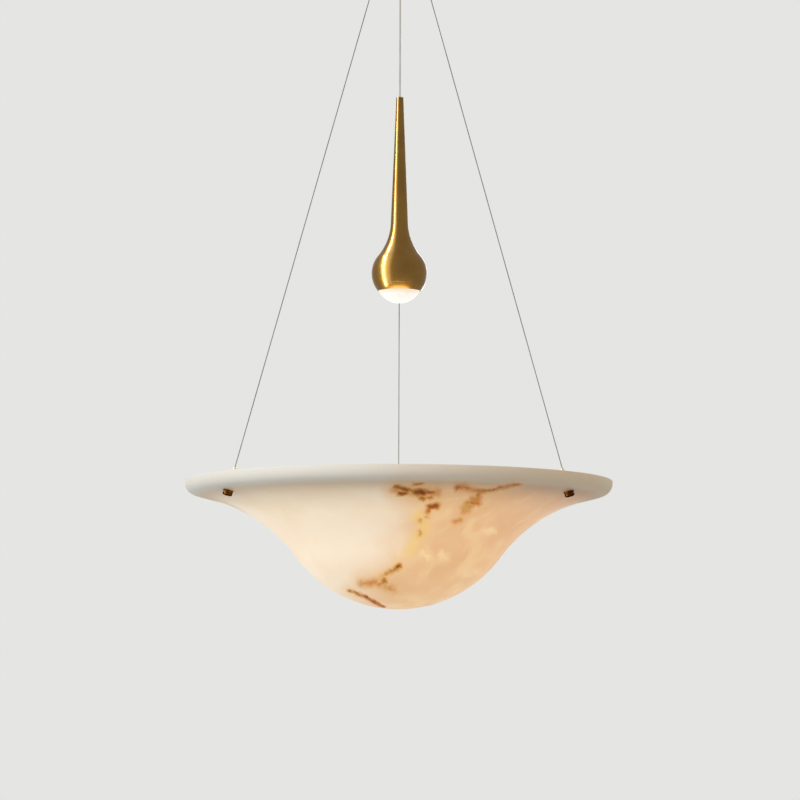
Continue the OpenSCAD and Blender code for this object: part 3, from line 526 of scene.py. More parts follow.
def make_lens():
    lens_r = SPOT["mouth_r"] - SPOT["lip_w"] - SPOT["lens_gap"]
    dome_r = (lens_r ** 2 + dome_h ** 2) / (2 * dome_h)
    half = math.degrees(math.asin(lens_r / dome_r))
    dome = arc((0, dome_r - dome_h), dome_r, -90, -90 + half, DOME_STEP)
    flange_r = bezel_bore - SPOT["bore_gap"]
    lip_h = SPOT["lip_h"]
    outline = dome + [(lens_r, lip_h), (flange_r, lip_h), (flange_r, lens_top), (0, lens_top)]
    verts, faces = revolve(outline, ROUND_SEGMENTS, spot_z)
    return new_piece("domed_lens", verts, faces, "spot", "lens_glass", "lens")


# Node helpers
def srgb(*levels):
    """A colour as the screen shows it, 0 to 255, as a linear colour with alpha."""
    linear = [(c / 255 / 12.92) if c <= 10 else ((c / 255 + 0.055) / 1.055) ** 2.4 for c in levels]
    return (*linear, 1)


def grey(level):
    return (level, level, level, 1)


def fill(tree, node, values):
    """Sets inputs of a node, by name or number, to constants or links them to sockets."""
    for key, value in values.items():
        if isinstance(value, bpy.types.NodeSocket):
            tree.links.new(value, node.inputs[key])
        else:
            node.inputs[key].default_value = value
    return node


def shader(tree, kind, values=None, **settings):
    made = tree.nodes.new("ShaderNode" + kind)
    for key, value in settings.items():
        setattr(made, key, value)
    return fill(tree, made, values or {})


def maths(tree, operation, a, b=0.0):
    return shader(tree, "Math", {0: a, 1: b}, operation=operation).outputs[0]


def times(tree, a, b):
    return maths(tree, "MULTIPLY", a, b)


def vector(tree, operation, a, b=(0, 0, 0)):
    made = shader(tree, "VectorMath", {0: a, 1: b}, operation=operation)
    return made.outputs["Value" if operation in ("LENGTH", "DOT_PRODUCT") else "Vector"]


def scaled(tree, a, share):
    return shader(tree, "VectorMath", {0: a, "Scale": share}, operation="SCALE").outputs["Vector"]


def parts(tree, place):
    return shader(tree, "SeparateXYZ", {0: place}).outputs


def from_axis(tree, apart):
    """Distance from the vertical axis."""
    return vector(tree, "LENGTH", shader(tree, "CombineXYZ", {0: apart["X"], 1: apart["Y"]}).outputs[0])


def mixed(tree, share, first, second, blend="MIX"):
    made = shader(tree, "Mix", {0: share, 6: first, 7: second}, data_type="RGBA", blend_type=blend)
    return made.outputs[2]


def mixed_value(tree, share, first, second):
    return shader(tree, "Mix", {0: share, 2: first, 3: second}, data_type="FLOAT").outputs[0]


def grain(tree, place, scale, detail=2.0, roughness=0.5, distortion=0.0):
    return shader(tree, "TexNoise", {
        "Vector": place, "Scale": scale, "Detail": detail, "Roughness": roughness,
        "Distortion": distortion}).outputs["Fac"]


def remap(tree, value, low, high, to_low=0.0, to_high=1.0, smooth=True):
    ends = {"Value": value, "From Min": low, "From Max": high, "To Min": to_low, "To Max": to_high}
    kind = "SMOOTHSTEP" if smooth else "LINEAR"
    return shader(tree, "MapRange", ends, interpolation_type=kind).outputs["Result"]


def bumped(tree, height, distance, strength=1.0):
    made = shader(tree, "Bump", {"Height": height, "Distance": distance, "Strength": strength})
    return made.outputs["Normal"]


def warped(tree, place, scale, amount, detail=2.0):
    """The place, shifted by up to about half the amount by a soft noise."""
    shift = shader(tree, "TexNoise", {"Vector": place, "Scale": scale, "Detail": detail}).outputs["Color"]
    centred = vector(tree, "SUBTRACT", shift, (0.5, 0.5, 0.5))
    return vector(tree, "ADD", place, scaled(tree, centred, amount))


def new_material(name, **inputs):
    """A material, its tree, its main shader and the place on the object in metres."""
    made = bpy.data.materials.new(name)
    made.use_nodes = True
    tree = made.node_tree
    surface = tree.nodes["Principled BSDF"]
    fill(tree, surface, {key.replace("_", " "): value for key, value in inputs.items()})
    return made, tree, surface, shader(tree, "TexCoord").outputs["Object"]


def dress(piece, material):
    piece.data.materials.clear()
    piece.data.materials.append(material)


# Stone: veins on the bowl's outside, as half width, strength and path in plan, in millimetres
BROWN_VEINS = [
    (4.2, 1, (-3, -254), (3, -250), (11, -246)),
    (3.6, 0.9, (0, -234), (9, -235)),
    (3.2, 0.6, (11, -246), (18, -239), (24, -239)),
    (5.6, 1.2, (24, -237), (29, -238), (34, -234)),
    (3.6, 0.7, (34, -234), (41, -236), (48, -236)),
    (2.6, 0.5, (21, -263), (30, -264)),
    (3, 0.55, (30, -223), (35, -219)),
    (2.6, 0.5, (41, -222), (43, -223)),
    (5, 1.1, (45, -200), (51, -200)),
    (3, 0.5, (41, -191), (43, -197)),
    (4, 0.4, (79, -244), (87, -244), (94, -236)),
    (2.6, 0.34, (94, -236), (102, -225), (112, -219)),
    (2.8, 0.5, (112, -219), (130, -219), (145, -225), (162, -225)),
    (3.2, 0.4, (108, -211), (105, -192)),
    (3, 0.5, (100, -191), (108, -186)),
    (3.6, 0.85, (-2, -126), (0, -127)),
    (2.4, 0.3, (-3, -124), (-11, -118), (-17, -114)),
    (3, 0.34, (-19, -102), (-25, -95)),
    (3, 0.75, (-67, -56), (-56, -56)),
    (2.6, 0.45, (-56, -56), (-47, -55)),
    (3.2, 0.8, (-47, -55), (-38, -49)),
    (3.6, 0.9, (-38, -49), (-29, -36), (-20, -23)),
]
GOLD_VEINS = [
    (9, 0.8, (-4, -246), (24, -238), (50, -234)),
    (5.5, 1, (29, -224), (35, -220), (44, -221)),
    (5, 0.5, (48, -234), (53, -225)),
    (6, 1, (40, -190), (44, -199), (54, -201)),
    (8, 0.95, (109, -204), (108, -186)),
    (10, 1.15, (103, -196), (97, -189), (92, -180)),
    (6, 0.75, (77, -163), (85, -163)),
    (3.4, 0.7, (29, -179), (31, -177)),
    (3, 0.55, (38, -181), (40, -181)),
    (3.4, 0.7, (29, -163), (30, -159)),
    (6, 0.8, (80, -244), (112, -219), (137, -219), (159, -225)),
    (8.5, 0.7, (-51, -87), (-44, -91), (-31, -97)),
    (7.5, 0.55, (-31, -96), (-18, -91), (-7, -87)),
    (4.5, 0.6, (-25, -103), (-17, -116), (-9, -121), (-2, -126)),
    (4.5, 0.35, (-67, -56), (-47, -55), (-29, -36)),
]
YELLOW_VEINS = [
    (10, 1, (28, -185), (33, -178), (34, -166), (28, -158)),
    (8, 0.6, (28, -158), (20, -147), (15, -141)),
    (6, 0.7, (-24, -110), (-19, -112)),
    (5, 0.5, (-2, -131), (2, -123)),
]
PALE_VEINS = [
    (11, 0.9, (33, -137), (41, -131)),
    (10, 1, (58, -128), (64, -121)),
    (12, 0.7, (90, -76), (106, -62)),
    (10, 0.6, (120, -120), (132, -104)),
]
# How much noise tears each one's edges
TEARS = {"pale": 1.6, "yellow": 0.8, "gold": 0.9, "brown": 1.5}
# Veins run from front to back through the stone, so distances to them count for less that way
VEIN_GRAIN = Vector((1, 0.35, 1))
# Where the cream stone gives way to the peach, in millimetres across at millimetres below the rim
SEAM_OF_COLOUR = [(-180, -24), (-160, -26), (-125, -4), (-100, 12), (-75, 20), (-40, 14), (0, -4)]
SEAM_DEPTH = 180
SEAM_SPREAD = 100

STONE = {
    "cream": (246, 230, 206),
    "cream_deep": (243, 221, 192),
    "peach": (242, 199, 150),
    "peach_deep": (234, 186, 138),
    "peach_far": (219, 173, 137),
    "fleck": (252, 218, 168),
    "yellow": (246, 208, 124),
    "stain": (236, 188, 132),
    "gold": (202, 138, 50),
    "orange": (212, 128, 58),
    "brown": (120, 50, 0),
    # The flange's colours, lighter on the left and darker on the right as painted light and shade
    "under_left_painted_lit": (227, 209, 181),
    "under_right_painted_shade": (204, 172, 142),
    # The rim band's colours: a painted highlight on the left, painted shade on the right
    "rim_left_painted_lit": (243, 242, 236),
    "rim_right_painted_shade": (219, 202, 174),
}
# Where each fade starts and ends, as a noise's value, a vein's depth, a slope or metres, and its levels
FADES = {
    "wide": (0.3, 0.7),
    "narrow": (0.35, 0.65),
    "behind": (-0.05, 0.06),
    "seam": (-0.06, 0.04),
    "peach_cloud": (0.42, 0.6),
    "fleck": (0.48, 0.7, 0, 0.42),
    "peach_far": (0.09, 0.27, 0, 0.85),
    # Painted light across the flange, from the lit left to the shaded right
    "painted_light_left_to_right": (-0.18, 0.3),
    # Where the band round the flange's edge, with its painted highlight, begins
    "band_up": (-0.023, -0.011),
    "band_out": (0.268, 0.292),
    "flange": (0.235, 0.285, 0, 0.85),
    "outside": (0.15, -0.1),
    # The painted glow of the spot's light through the stone: less towards the rim, and a little less at the bottom
    "glow_out": (0.288, 0.19, 0, 0.53),
    "glow_up": (-0.18, -0.09, 0.92, 1),
    "pale": (0, 1.1, 0, 0.85),
    "yellow": (-0.6, 1.1, 0, 0.85),
    "stain": (-1.6, 0.9, 0, 0.6),
    "gold": (-0.2, 0.9),
    "gold_patch": (0.3, 0.6, 0.55, 1),
    "gold_halo": (-0.6, 0.35, 0, 0.95),
    "orange": (0.44, 0.68),
    "brown": (-0.05, 1.05),
    "brown_patch": (0.34, 0.56, 0.75, 1),
    "stray_patch": (0.48, 0.62),
    "stray_end": (0.27, 0.235),
    "stray_stain": (0.07, 0.005, 0, 0.5),
    "stray_core": (0.02, 0.003, 0, 0.8),
    "shade": (0.2, 0.285),
    "roughness": (0.3, 0.7, 0.38, 0.5),
    "turned_mark": (0.35, 0.7, 0, 0.25),
    "turned_roughness": (0.3, 0.7, 0.28, 0.33),
    # The lens's warm ring, a painted reflection of the brass edge, and its glow, dimmer at the edge as painted
    # shade
    "lens_painted_reflection_in": (0.0265, 0.029),
    "lens_painted_reflection_out": (0.0325, 0.03, 0, 0.5),
    "lens_glow": (0.012, 0.03, 0.66, 0.56),
}
# How much the bowl's base colour is dimmed where its painted glow adds light
STONE_SHADE = 0.75


def vein_piece_group():
    """A node group that gives a vein's strength on its line, which falls to nought at its width
    and below nought beyond it."""
    group = bpy.data.node_groups.new("vein_piece", "ShaderNodeTree")
    for name, kind in (("Place", "Vector"), ("Start", "Vector"), ("Along", "Vector"),
                       ("Share", "Float"), ("Width", "Float"), ("Strength", "Float")):
        group.interface.new_socket(name, in_out="INPUT", socket_type="NodeSocket" + kind)
    group.interface.new_socket("Depth", in_out="OUTPUT", socket_type="NodeSocketFloat")
    given = group.nodes.new("NodeGroupInput").outputs
    off = vector(group, "SUBTRACT", given["Place"], given["Start"])
    share = times(group, vector(group, "DOT_PRODUCT", off, given["Along"]), given["Share"])
    share = maths(group, "MINIMUM", maths(group, "MAXIMUM", share, 0.0), 1.0)
    away = vector(group, "LENGTH", vector(group, "SUBTRACT", off, scaled(group, given["Along"], share)))
    inside = maths(group, "SUBTRACT", 1.0, maths(group, "DIVIDE", away, given["Width"]))
    fill(group, group.nodes.new("NodeGroupOutput"), {"Depth": times(group, inside, given["Strength"])})
    return group


def outer_height(r):
    """Height of the bowl's outside at a radius, in millimetres from its lowest point."""
    outer = bowl_outlines()[0]
    for (r0, h0), (r1, h1) in zip(outer, outer[1:]):
        if r0 <= r <= r1:
            return h0 + (h1 - h0) * (r - r0) / max(r1 - r0, TINY)
    return outer[-1][1]


def on_bowl(x, y):
    return Vector((x * MM, y * MM, bowl_low.z + outer_height(math.hypot(x, y)) * MM))


def vein_field(tree, group, place, veins):
    """The greatest depth in any of the veins."""
    most = None
    for width, strength, *path in veins:
        for first, second in zip(path, path[1:]):
            start = on_bowl(*first) * VEIN_GRAIN
            along = on_bowl(*second) * VEIN_GRAIN - start
            piece = tree.nodes.new("ShaderNodeGroup")
            piece.node_tree = group
            depth = fill(tree, piece, {
                "Place": place, "Start": start, "Along": along, "Share": 1 / along.length_squared,
                "Width": width * MM, "Strength": strength}).outputs["Depth"]
            most = depth if most is None else maths(tree, "MAXIMUM", most, depth)
    return most


def fade(tree, name, value):
    return remap(tree, value, *FADES[name])


def tinted(tree, share, colour, name):
    """The colour, with a share of one of the stone's tints over it."""
    return mixed(tree, share, colour, srgb(*STONE[name]))


def peach_share(tree, soft, behind):
    """Nought where the stone is cream and one where it is peach: the right side, and clouds behind."""
    apart = parts(tree, soft)
    below_rim = maths(tree, "SUBTRACT", apart["Z"], bowl_high.z)
    curve = shader(tree, "FloatCurve", {"Value": remap(tree, below_rim, -SEAM_DEPTH * MM, 0, smooth=False)})
    places = [((z + SEAM_DEPTH) / SEAM_DEPTH, 0.5 + x / SEAM_SPREAD) for z, x in SEAM_OF_COLOUR]
    points = curve.mapping.curves[0].points
    for place in places[1:-1]:
        points.new(*place)
    points[0].location = places[0]
    points[-1].location = places[-1]
    curve.mapping.update()
    seam = times(tree, maths(tree, "SUBTRACT", curve.outputs[0], 0.5), SEAM_SPREAD * MM)
    front = fade(tree, "seam", maths(tree, "SUBTRACT", apart["X"], seam))
    clouds = fade(tree, "peach_cloud", grain(tree, soft, scale=4.5))
    return mixed_value(tree, behind, front, clouds)


def stone_tints(tree, place, plain, soft, behind):
    """Cream and peach, each clouded, with paler flecks in the peach. It gives the clouds and flecks too."""
    to_peach = peach_share(tree, soft, behind)
    cloud = grain(tree, soft, scale=11, detail=4, roughness=0.6)
    cream = tinted(tree, fade(tree, "wide", cloud), srgb(*STONE["cream"]), "cream_deep")
    slanted = shader(tree, "Mapping", {
        "Vector": place, "Rotation": (0.3, 0.7, 0.2), "Scale": (1, 1, 0.42)}).outputs[0]
    fleck = grain(tree, slanted, scale=30, detail=1.5, roughness=0.45, distortion=0.8)
    peach = tinted(tree, fade(tree, "wide", cloud), srgb(*STONE["peach"]), "peach_deep")
    peach = tinted(tree, fade(tree, "fleck", fleck), peach, "fleck")
    peach = tinted(tree, fade(tree, "peach_far", plain["X"]), peach, "peach_far")
    return mixed(tree, to_peach, cream, peach), cloud, fleck


def flange_with_painted_light(tree, colour, plain, radius, height):
    """The thick flange is paler, with painted light on it: lighter on the left, where the key lamp falls, darker
    to the right in painted shade, and palest on the band round its edge, a painted highlight where it faces the
    light.
    """
    # Painted light from the left and painted shade to the right, on the flange and on its band
    across = fade(tree, "painted_light_left_to_right", plain["X"])
    under = tinted(tree, across, srgb(*STONE["under_left_painted_lit"]), "under_right_painted_shade")
    band = tinted(tree, across, srgb(*STONE["rim_left_painted_lit"]), "rim_right_painted_shade")
    edge = maths(tree, "MAXIMUM", fade(tree, "band_up", height), fade(tree, "band_out", radius))
    flange = mixed(tree, edge, under, band)
    return mixed(tree, fade(tree, "flange", radius), colour, flange)


def painted_outer_glow(tree, radius, height):
    """Painted glow of the spot's light shining through the stone, which is no lamp: only the outside glows, and
    less towards the rim and at the bottom.
    """
    normal = shader(tree, "NewGeometry").outputs["True Normal"]
    facing = parts(tree, normal)["Z"]
    outside = fade(tree, "outside", facing)
    glow = times(tree, fade(tree, "glow_out", radius), outside)
    return times(tree, glow, fade(tree, "glow_up", height))


def veins_over(tree, colour, through, veined, fleck):
    """Pale and yellow stains, gold within them and brown cores, their edges torn by noise."""
    group = vein_piece_group()
    tear = grain(tree, veined, scale=110, detail=6, roughness=0.62)
    tear = maths(tree, "SUBTRACT", tear, 0.5)

    def field(veins):
        return vein_field(tree, group, veined, veins)

    def ragged(depth, name):
        return maths(tree, "ADD", depth, times(tree, tear, TEARS[name]))

    colour = tinted(tree, fade(tree, "pale", ragged(field(PALE_VEINS), "pale")), colour, "fleck")
    patchy = grain(tree, through, scale=90, detail=3, roughness=0.6)
    colour = tinted(tree, fade(tree, "yellow", ragged(field(YELLOW_VEINS), "yellow")), colour, "yellow")
    gold = field(GOLD_VEINS)
    brown = ragged(field(BROWN_VEINS), "brown")
    colour = tinted(tree, fade(tree, "stain", gold), colour, "stain")
    gold_share = times(tree, fade(tree, "gold", ragged(gold, "gold")), fade(tree, "gold_patch", patchy))
    gold_share = maths(tree, "MAXIMUM", gold_share, fade(tree, "gold_halo", brown))
    gold_tint = tinted(tree, fade(tree, "orange", fleck), srgb(*STONE["gold"]), "orange")
    colour = mixed(tree, gold_share, colour, gold_tint)
    brown_share = times(tree, fade(tree, "brown", brown), fade(tree, "brown_patch", patchy))
    return tinted(tree, brown_share, colour, "brown")


def strays_over(tree, colour, place, torn, radius, behind):
    """Thin stray veins on the far side and inside, which end before the flange."""
    thread = grain(tree, torn, scale=5.5, detail=4, roughness=0.6)
    thread = maths(tree, "ABSOLUTE", maths(tree, "SUBTRACT", thread, 0.5))
    sparse = fade(tree, "stray_patch", grain(tree, place, scale=7, detail=1))
    sparse = times(tree, sparse, fade(tree, "stray_end", radius))
    for name, tint in (("stray_stain", "gold"), ("stray_core", "brown")):
        share = times(tree, fade(tree, name, thread), sparse)
        colour = tinted(tree, times(tree, share, behind), colour, tint)
    return colour


def stone_material():
    made, tree, surface, place = new_material(
        "veined_stone", IOR=1.5, Specular_IOR_Level=0.08, Subsurface_Weight=0.15, Subsurface_Scale=0.012,
        Subsurface_Radius=(1.0, 0.7, 0.45))
    made.cycles.emission_sampling = "NONE"
    soft = warped(tree, place, scale=7, amount=0.06)
    torn = warped(tree, place, scale=120, amount=0.006, detail=4)
    through = vector(tree, "MULTIPLY", place, VEIN_GRAIN)
    bent = warped(tree, through, scale=40, amount=0.005)
    veined = warped(tree, bent, scale=160, amount=0.006, detail=4)
    plain = parts(tree, place)
    behind = fade(tree, "behind", plain["Y"])

    colour, cloud, fleck = stone_tints(tree, place, plain, soft, behind)
    radius = from_axis(tree, plain)
    height = maths(tree, "SUBTRACT", plain["Z"], bowl_high.z)
    colour = flange_with_painted_light(tree, colour, plain, radius, height)
    # The painted glow: the spot's light shining through the stone, put on its outside as emission
    glow = painted_outer_glow(tree, radius, height)
    colour = veins_over(tree, colour, through, veined, fleck)
    colour = strays_over(tree, colour, place, torn, radius, behind)

    # The base colour is dimmed where the painted glow adds light, so that both give about the written colour; the
    # flange, which doesn't glow, keeps its full colour
    shade = mixed(tree, fade(tree, "shade", radius), grey(STONE_SHADE), grey(1))
    fill(tree, surface, {
        "Base Color": mixed(tree, 1.0, colour, shade, "MULTIPLY"),
        "Emission Color": colour,
        "Emission Strength": glow,
        "Roughness": fade(tree, "roughness", cloud),
        "Normal": bumped(tree, grain(tree, place, scale=700, detail=3), distance=0.00004),
    })
    return made


# Metals: lighter and darker tint, least and greatest roughness, tint of grazing reflections
METALS = {
    "satin_brass": ((172, 132, 58), (156, 117, 46), 0.22, 0.34, (220, 205, 172)),
    # The stops' brass is darkened as painted shade, for the dark reflections of a dim room
    "brass_painted_dark": ((96, 58, 18), (74, 42, 12), 0.3, 0.44, (120, 84, 44)),
    # The bushes' brass is polished, and paler as a painted glint
    "polished_brass_painted_glint": ((222, 190, 128), (210, 174, 108), 0.14, 0.24),
    "plated_steel": ((196, 198, 200), (172, 174, 178), 0.22, 0.36),
    "aluminium": ((214, 215, 218), (196, 198, 202), 0.28, 0.42),
}
# Plastics, rubber and cords: lighter and darker tint, roughness, scale of the grain, share of metal
PLASTICS = {
    "wire_steel": ((164, 164, 163), (150, 150, 150), 0.56, 1500, 0.3),
    "cable_jacket": ((206, 205, 200), (192, 191, 186), 0.4, 1200),
    "phosphor": ((250, 226, 120), (244, 214, 100), 0.5),
    "white_plastic": ((226, 226, 222), (218, 218, 214), 0.38),
    "white_board": ((236, 236, 232), (228, 228, 224), 0.35),
    "black_rubber": ((34, 34, 35), (26, 26, 27), 0.6),
    "clear_rubber": ((190, 168, 140), (178, 156, 128), 0.5),
    "thermal_pad": ((140, 156, 176), (130, 146, 166), 0.7),
    "red_insulation": ((170, 40, 34), (156, 34, 28), 0.4),
}
# How much longer a metal's marks are across than up, and how unevenly rough plastic is
METAL_STRETCH = (1, 1, 6)
PLASTIC_UNEVEN = (-0.06, 0.08)
# How much the marks of turned brass change outwards and up, and round the axis
TURNED_RINGS = 90
TURNED_ROUND = (0.5, 0.5, 0)


def turned_brass_material():
    """Satin brass with fine marks round the vertical axis, as a lathe leaves them. Its tints are darker than bare
    brass, partly its own deep antique tone and partly painted shade that stands in for the reflections of a dim
    room.
    """
    # Darker tints: partly the brass's own tone, partly painted shade for the reflections of a dim room
    light, dark = srgb(119, 85, 22), srgb(107, 75, 17)
    mark, grazing = srgb(134, 99, 31), srgb(212, 196, 168)
    made, tree, surface, place = new_material(
        "turned_brass", Metallic=1, Specular_Tint=grazing, Anisotropic=0.5,
        Anisotropic_Rotation=0.25, Coat_Weight=0.5, Coat_Roughness=0.16)
    apart = parts(tree, place)
    out = times(tree, from_axis(tree, apart), TURNED_RINGS)
    up = times(tree, apart["Z"], TURNED_RINGS)
    across = shader(tree, "CombineXYZ", {0: out, 1: up}).outputs[0]
    around = vector(tree, "MULTIPLY", place, TURNED_ROUND)
    marks = grain(tree, vector(tree, "ADD", across, around), scale=60, detail=3, roughness=0.7)
    stain = grain(tree, place, scale=26, detail=3, roughness=0.55)
    colour = mixed(tree, fade(tree, "wide", stain), light, dark)
    colour = mixed(tree, fade(tree, "turned_mark", marks), colour, mark)
    fill(tree, surface, {
        "Base Color": colour,
        "Roughness": fade(tree, "turned_roughness", marks),
        "Normal": bumped(tree, marks, distance=0.00001, strength=0.02),
        "Tangent": shader(tree, "Tangent", direction_type="RADIAL", axis="Z").outputs[0],
    })
    return made


def metal_material(name, light, dark, smooth, rough, grazing=(255, 255, 255)):
    """Plain satin metal with fine uneven marks."""
    made, tree, surface, place = new_material(name, Metallic=1, Specular_Tint=srgb(*grazing))
    flat = vector(tree, "MULTIPLY", place, METAL_STRETCH)
    marks = grain(tree, flat, scale=300, detail=4, roughness=0.65)
    stain = fade(tree, "narrow", grain(tree, place, scale=40))
    fill(tree, surface, {
        "Base Color": mixed(tree, stain, srgb(*light), srgb(*dark)),
        "Roughness": remap(tree, marks, *FADES["wide"], smooth, rough),
        "Normal": bumped(tree, marks, distance=0.00002, strength=0.5),
    })
    return made


def plastic_material(name, light, dark, rough, scale=900, metal=0):
    """Moulded plastic, rubber or jacket with a fine orange-peel surface."""
    made, tree, surface, place = new_material(name, Metallic=metal)
    peel = grain(tree, place, scale)
    tone = fade(tree, "narrow", grain(tree, place, scale=30))
    ends = [rough + change for change in PLASTIC_UNEVEN]
    fill(tree, surface, {
        "Base Color": mixed(tree, tone, srgb(*light), srgb(*dark)),
        "Roughness": remap(tree, peel, *FADES["wide"], *ends),
        "Normal": bumped(tree, peel, distance=0.00003, strength=0.6),
    })
    return made


# How far the lens's warm ring, a painted reflection of the brass edge, wanders, in metres, and how bright its
# glass is unlit
LENS_WAVE = 0.003
LENS_UNLIT = 0.6


def lens_material():
    """Frosted glass lit from inside: white, with a warm ring just inside its edge, a painted reflection of the
    brass edge, and a glow that dims towards the edge, a painted shade that shows the dome.
    """
    made, tree, surface, place = new_material("lit_lens", Roughness=0.12, IOR=1.49)
    radius = from_axis(tree, parts(tree, place))
    waves = times(tree, grain(tree, place, scale=120), LENS_WAVE)
    wavy = maths(tree, "ADD", radius, waves)
    # Painted reflection of the brass edge, as a warm ring just inside the lens's edge
    ring = times(tree, fade(tree, "lens_painted_reflection_in", wavy), fade(tree, "lens_painted_reflection_out", wavy))
    glass = mixed(tree, ring, srgb(253, 252, 249), srgb(244, 224, 184))
    fill(tree, surface, {
        "Base Color": mixed(tree, 1.0, glass, grey(LENS_UNLIT), "MULTIPLY"),
        "Emission Color": glass,
        # The glow dims towards the edge: painted shade of the dome
        "Emission Strength": fade(tree, "lens_glow", wavy),
        "Normal": bumped(tree, grain(tree, place, scale=900), distance=0.00002, strength=0.5),
    })
    return made


# Heights in the driver board, in millimetres, between which its dark parts begin
BOARD_PARTS = (5, 5.4)


def board_material():
    """Green circuit board with paler tracks and darker parts."""
    made, tree, surface, place = new_material("circuit_board", Roughness=0.35)
    tracks = shader(tree, "TexBrick", {
        "Vector": place, "Scale": 160, "Mortar Size": 0.03, "Color1": srgb(24, 92, 58),
        "Color2": srgb(28, 104, 64), "Mortar": srgb(70, 140, 92)}).outputs["Color"]
    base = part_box("driver_board")[0].z
    ends = [base + h * MM for h in BOARD_PARTS]
    part = remap(tree, parts(tree, place)["Z"], *ends, smooth=False)
    fill(tree, surface, {"Base Color": mixed(tree, part, tracks, srgb(40, 40, 46))})
    return made


# Materials that aren't called like their slot, and those of pieces with another
SLOT_MATERIALS = {
    "stone": "veined_stone",
    "brass": "satin_brass",
    "steel": "plated_steel",
    "cable": "cable_jacket",
    "lens_glass": "lit_lens",
    "emitter": "phosphor",
    "led_board": "white_board",
    "rubber": "black_rubber",
    "lead_red": "red_insulation",
}
OWN_MATERIALS = {
    "canopy_shell": "turned_brass",
    "outlet_body": "turned_brass",
    "brushed_teardrop": "turned_brass",
    "brushed_bezel": "turned_brass",
    "stop_washers": "clear_rubber",
    # The stops take brass darkened as painted shade
    **{f"wire_stop_{side}": "brass_painted_dark" for side in SIDES},
    # The bushes take polished brass, made paler as a painted glint
    **{f"sleeved_bush_{side}": "polished_brass_painted_glint" for side in SIDES},
}
# Nodes with square corners that show through the canopy's open top
SQUARE = ("ceiling_bracket", "driver_case", "driver_lid", "terminal_block", "gripper_nuts", "outlet_nut")
CORNER = 0.4
CORNER_SEGMENTS = 2
CORNER_ANGLE = 50


def make_materials():
    made = {"veined_stone": stone_material(), "turned_brass": turned_brass_material(),
            "lit_lens": lens_material(), "circuit_board": board_material()}
    made.update({name: metal_material(name, *facts) for name, facts in METALS.items()})
    made.update({name: plastic_material(name, *facts) for name, facts in PLASTICS.items()})
    return made


def ease_corners(node):
    """Rounds a node's square corners, which a modifier does without changing its mesh."""
    piece = frame["nodes"][node]
    piece.modifiers.new("weld", "WELD").merge_threshold = TINY
    bevel = piece.modifiers.new("corners", "BEVEL")
    bevel.width = CORNER * MM
    bevel.segments = CORNER_SEGMENTS
    bevel.limit_method = "ANGLE"
    bevel.angle_limit = math.radians(CORNER_ANGLE)


def dress_everything(slots):
    made = make_materials()
    for piece, slot in slots.items():
        dress(piece, made[OWN_MATERIALS.get(piece.name, SLOT_MATERIALS.get(slot, slot))])
    for node in SQUARE:
        ease_corners(node)


# Studio: a pale floor, a pale world and soft lamps
FLOOR_Z = -2.6
FLOOR_SIDE = 80
FLOOR_CLOUDS = (1.5, 2)
FLOOR_LIGHT = srgb(208, 208, 206)
FLOOR_DARK = srgb(204, 204, 202)
FLOOR_GLOW = 0.71
BACKGROUND = srgb(229, 229, 227)
AMBIENT = 0.52


def seen_directly(tree):
    """One for what is looked at, also mirrored or through glass, and nought for light on things."""
    path = shader(tree, "LightPath").outputs
    shiny = maths(tree, "MAXIMUM", path["Is Glossy Ray"], path["Is Transmission Ray"])
    return maths(tree, "MAXIMUM", path["Is Camera Ray"], shiny)


def make_floor():
    """The floor, which is clear when seen from below."""
    half = FLOOR_SIDE / 2
    corners = [(x, y, FLOOR_Z) for x, y in ((-half, -half), (half, -half), (half, half), (-half, half))]
    mesh = bpy.data.meshes.new("floor")
    mesh.from_pydata(corners, [], [(0, 1, 2, 3)])
    floor = add_object("floor", mesh)
    made, tree, surface, place = new_material("pale_floor", Roughness=0.9)
    made.cycles.emission_sampling = "NONE"
    tone = mixed(tree, grain(tree, place, *FLOOR_CLOUDS), FLOOR_LIGHT, FLOOR_DARK)
    glow = times(tree, seen_directly(tree), FLOOR_GLOW)
    fill(tree, surface, {"Base Color": tone, "Emission Color": tone, "Emission Strength": glow})
    seen_from_below = shader(tree, "NewGeometry").outputs["Backfacing"]
    clear = shader(tree, "BsdfTransparent").outputs[0]
    either = shader(tree, "MixShader", {0: seen_from_below, 1: surface.outputs[0], 2: clear}).outputs[0]
    fill(tree, tree.nodes["Material Output"], {"Surface": either})
    dress(floor, made)


def make_world():
    world = bpy.data.worlds.new("studio")
    world.use_nodes = True
    tree = world.node_tree
    seen = seen_directly(tree)
    fill(tree, tree.nodes["Background"], {
        "Color": mixed(tree, seen, grey(1), BACKGROUND),
        "Strength": remap(tree, seen, 0, 1, AMBIENT, 1.0, smooth=False),
    })
    bpy.context.scene.world = world


UP = (0, 0, 1)
BACK = (0, 1, 0)
MIDDLE = (0, 0, -0.75)
BOTTOM = (0, 0, bowl_low.z)
LENS_PLACE = (0, 0, lens_low.z)
UNDER_LENS = (0, 0, lens_low.z - 2 * MM)
# Soft lamps: place, target, side in metres, level, colour and the axis that their height follows
LAMPS = {
    "key": ((-3.4, -2.6, 0.7), MIDDLE, 1.8, 0.42, (1, 0.99, 0.97), UP),
    "spot_light": (UNDER_LENS, BOTTOM, 0.04, 0.5, (1, 0.95, 0.86), BACK),
    "fill": ((3.2, -3.4, 0.2), MIDDLE, 2.4, 0.14, (1, 0.98, 0.95), UP),
    "back": ((1.5, 3.6, 0.9), MIDDLE, 2.2, 0.15, (1, 1, 1), UP),
}
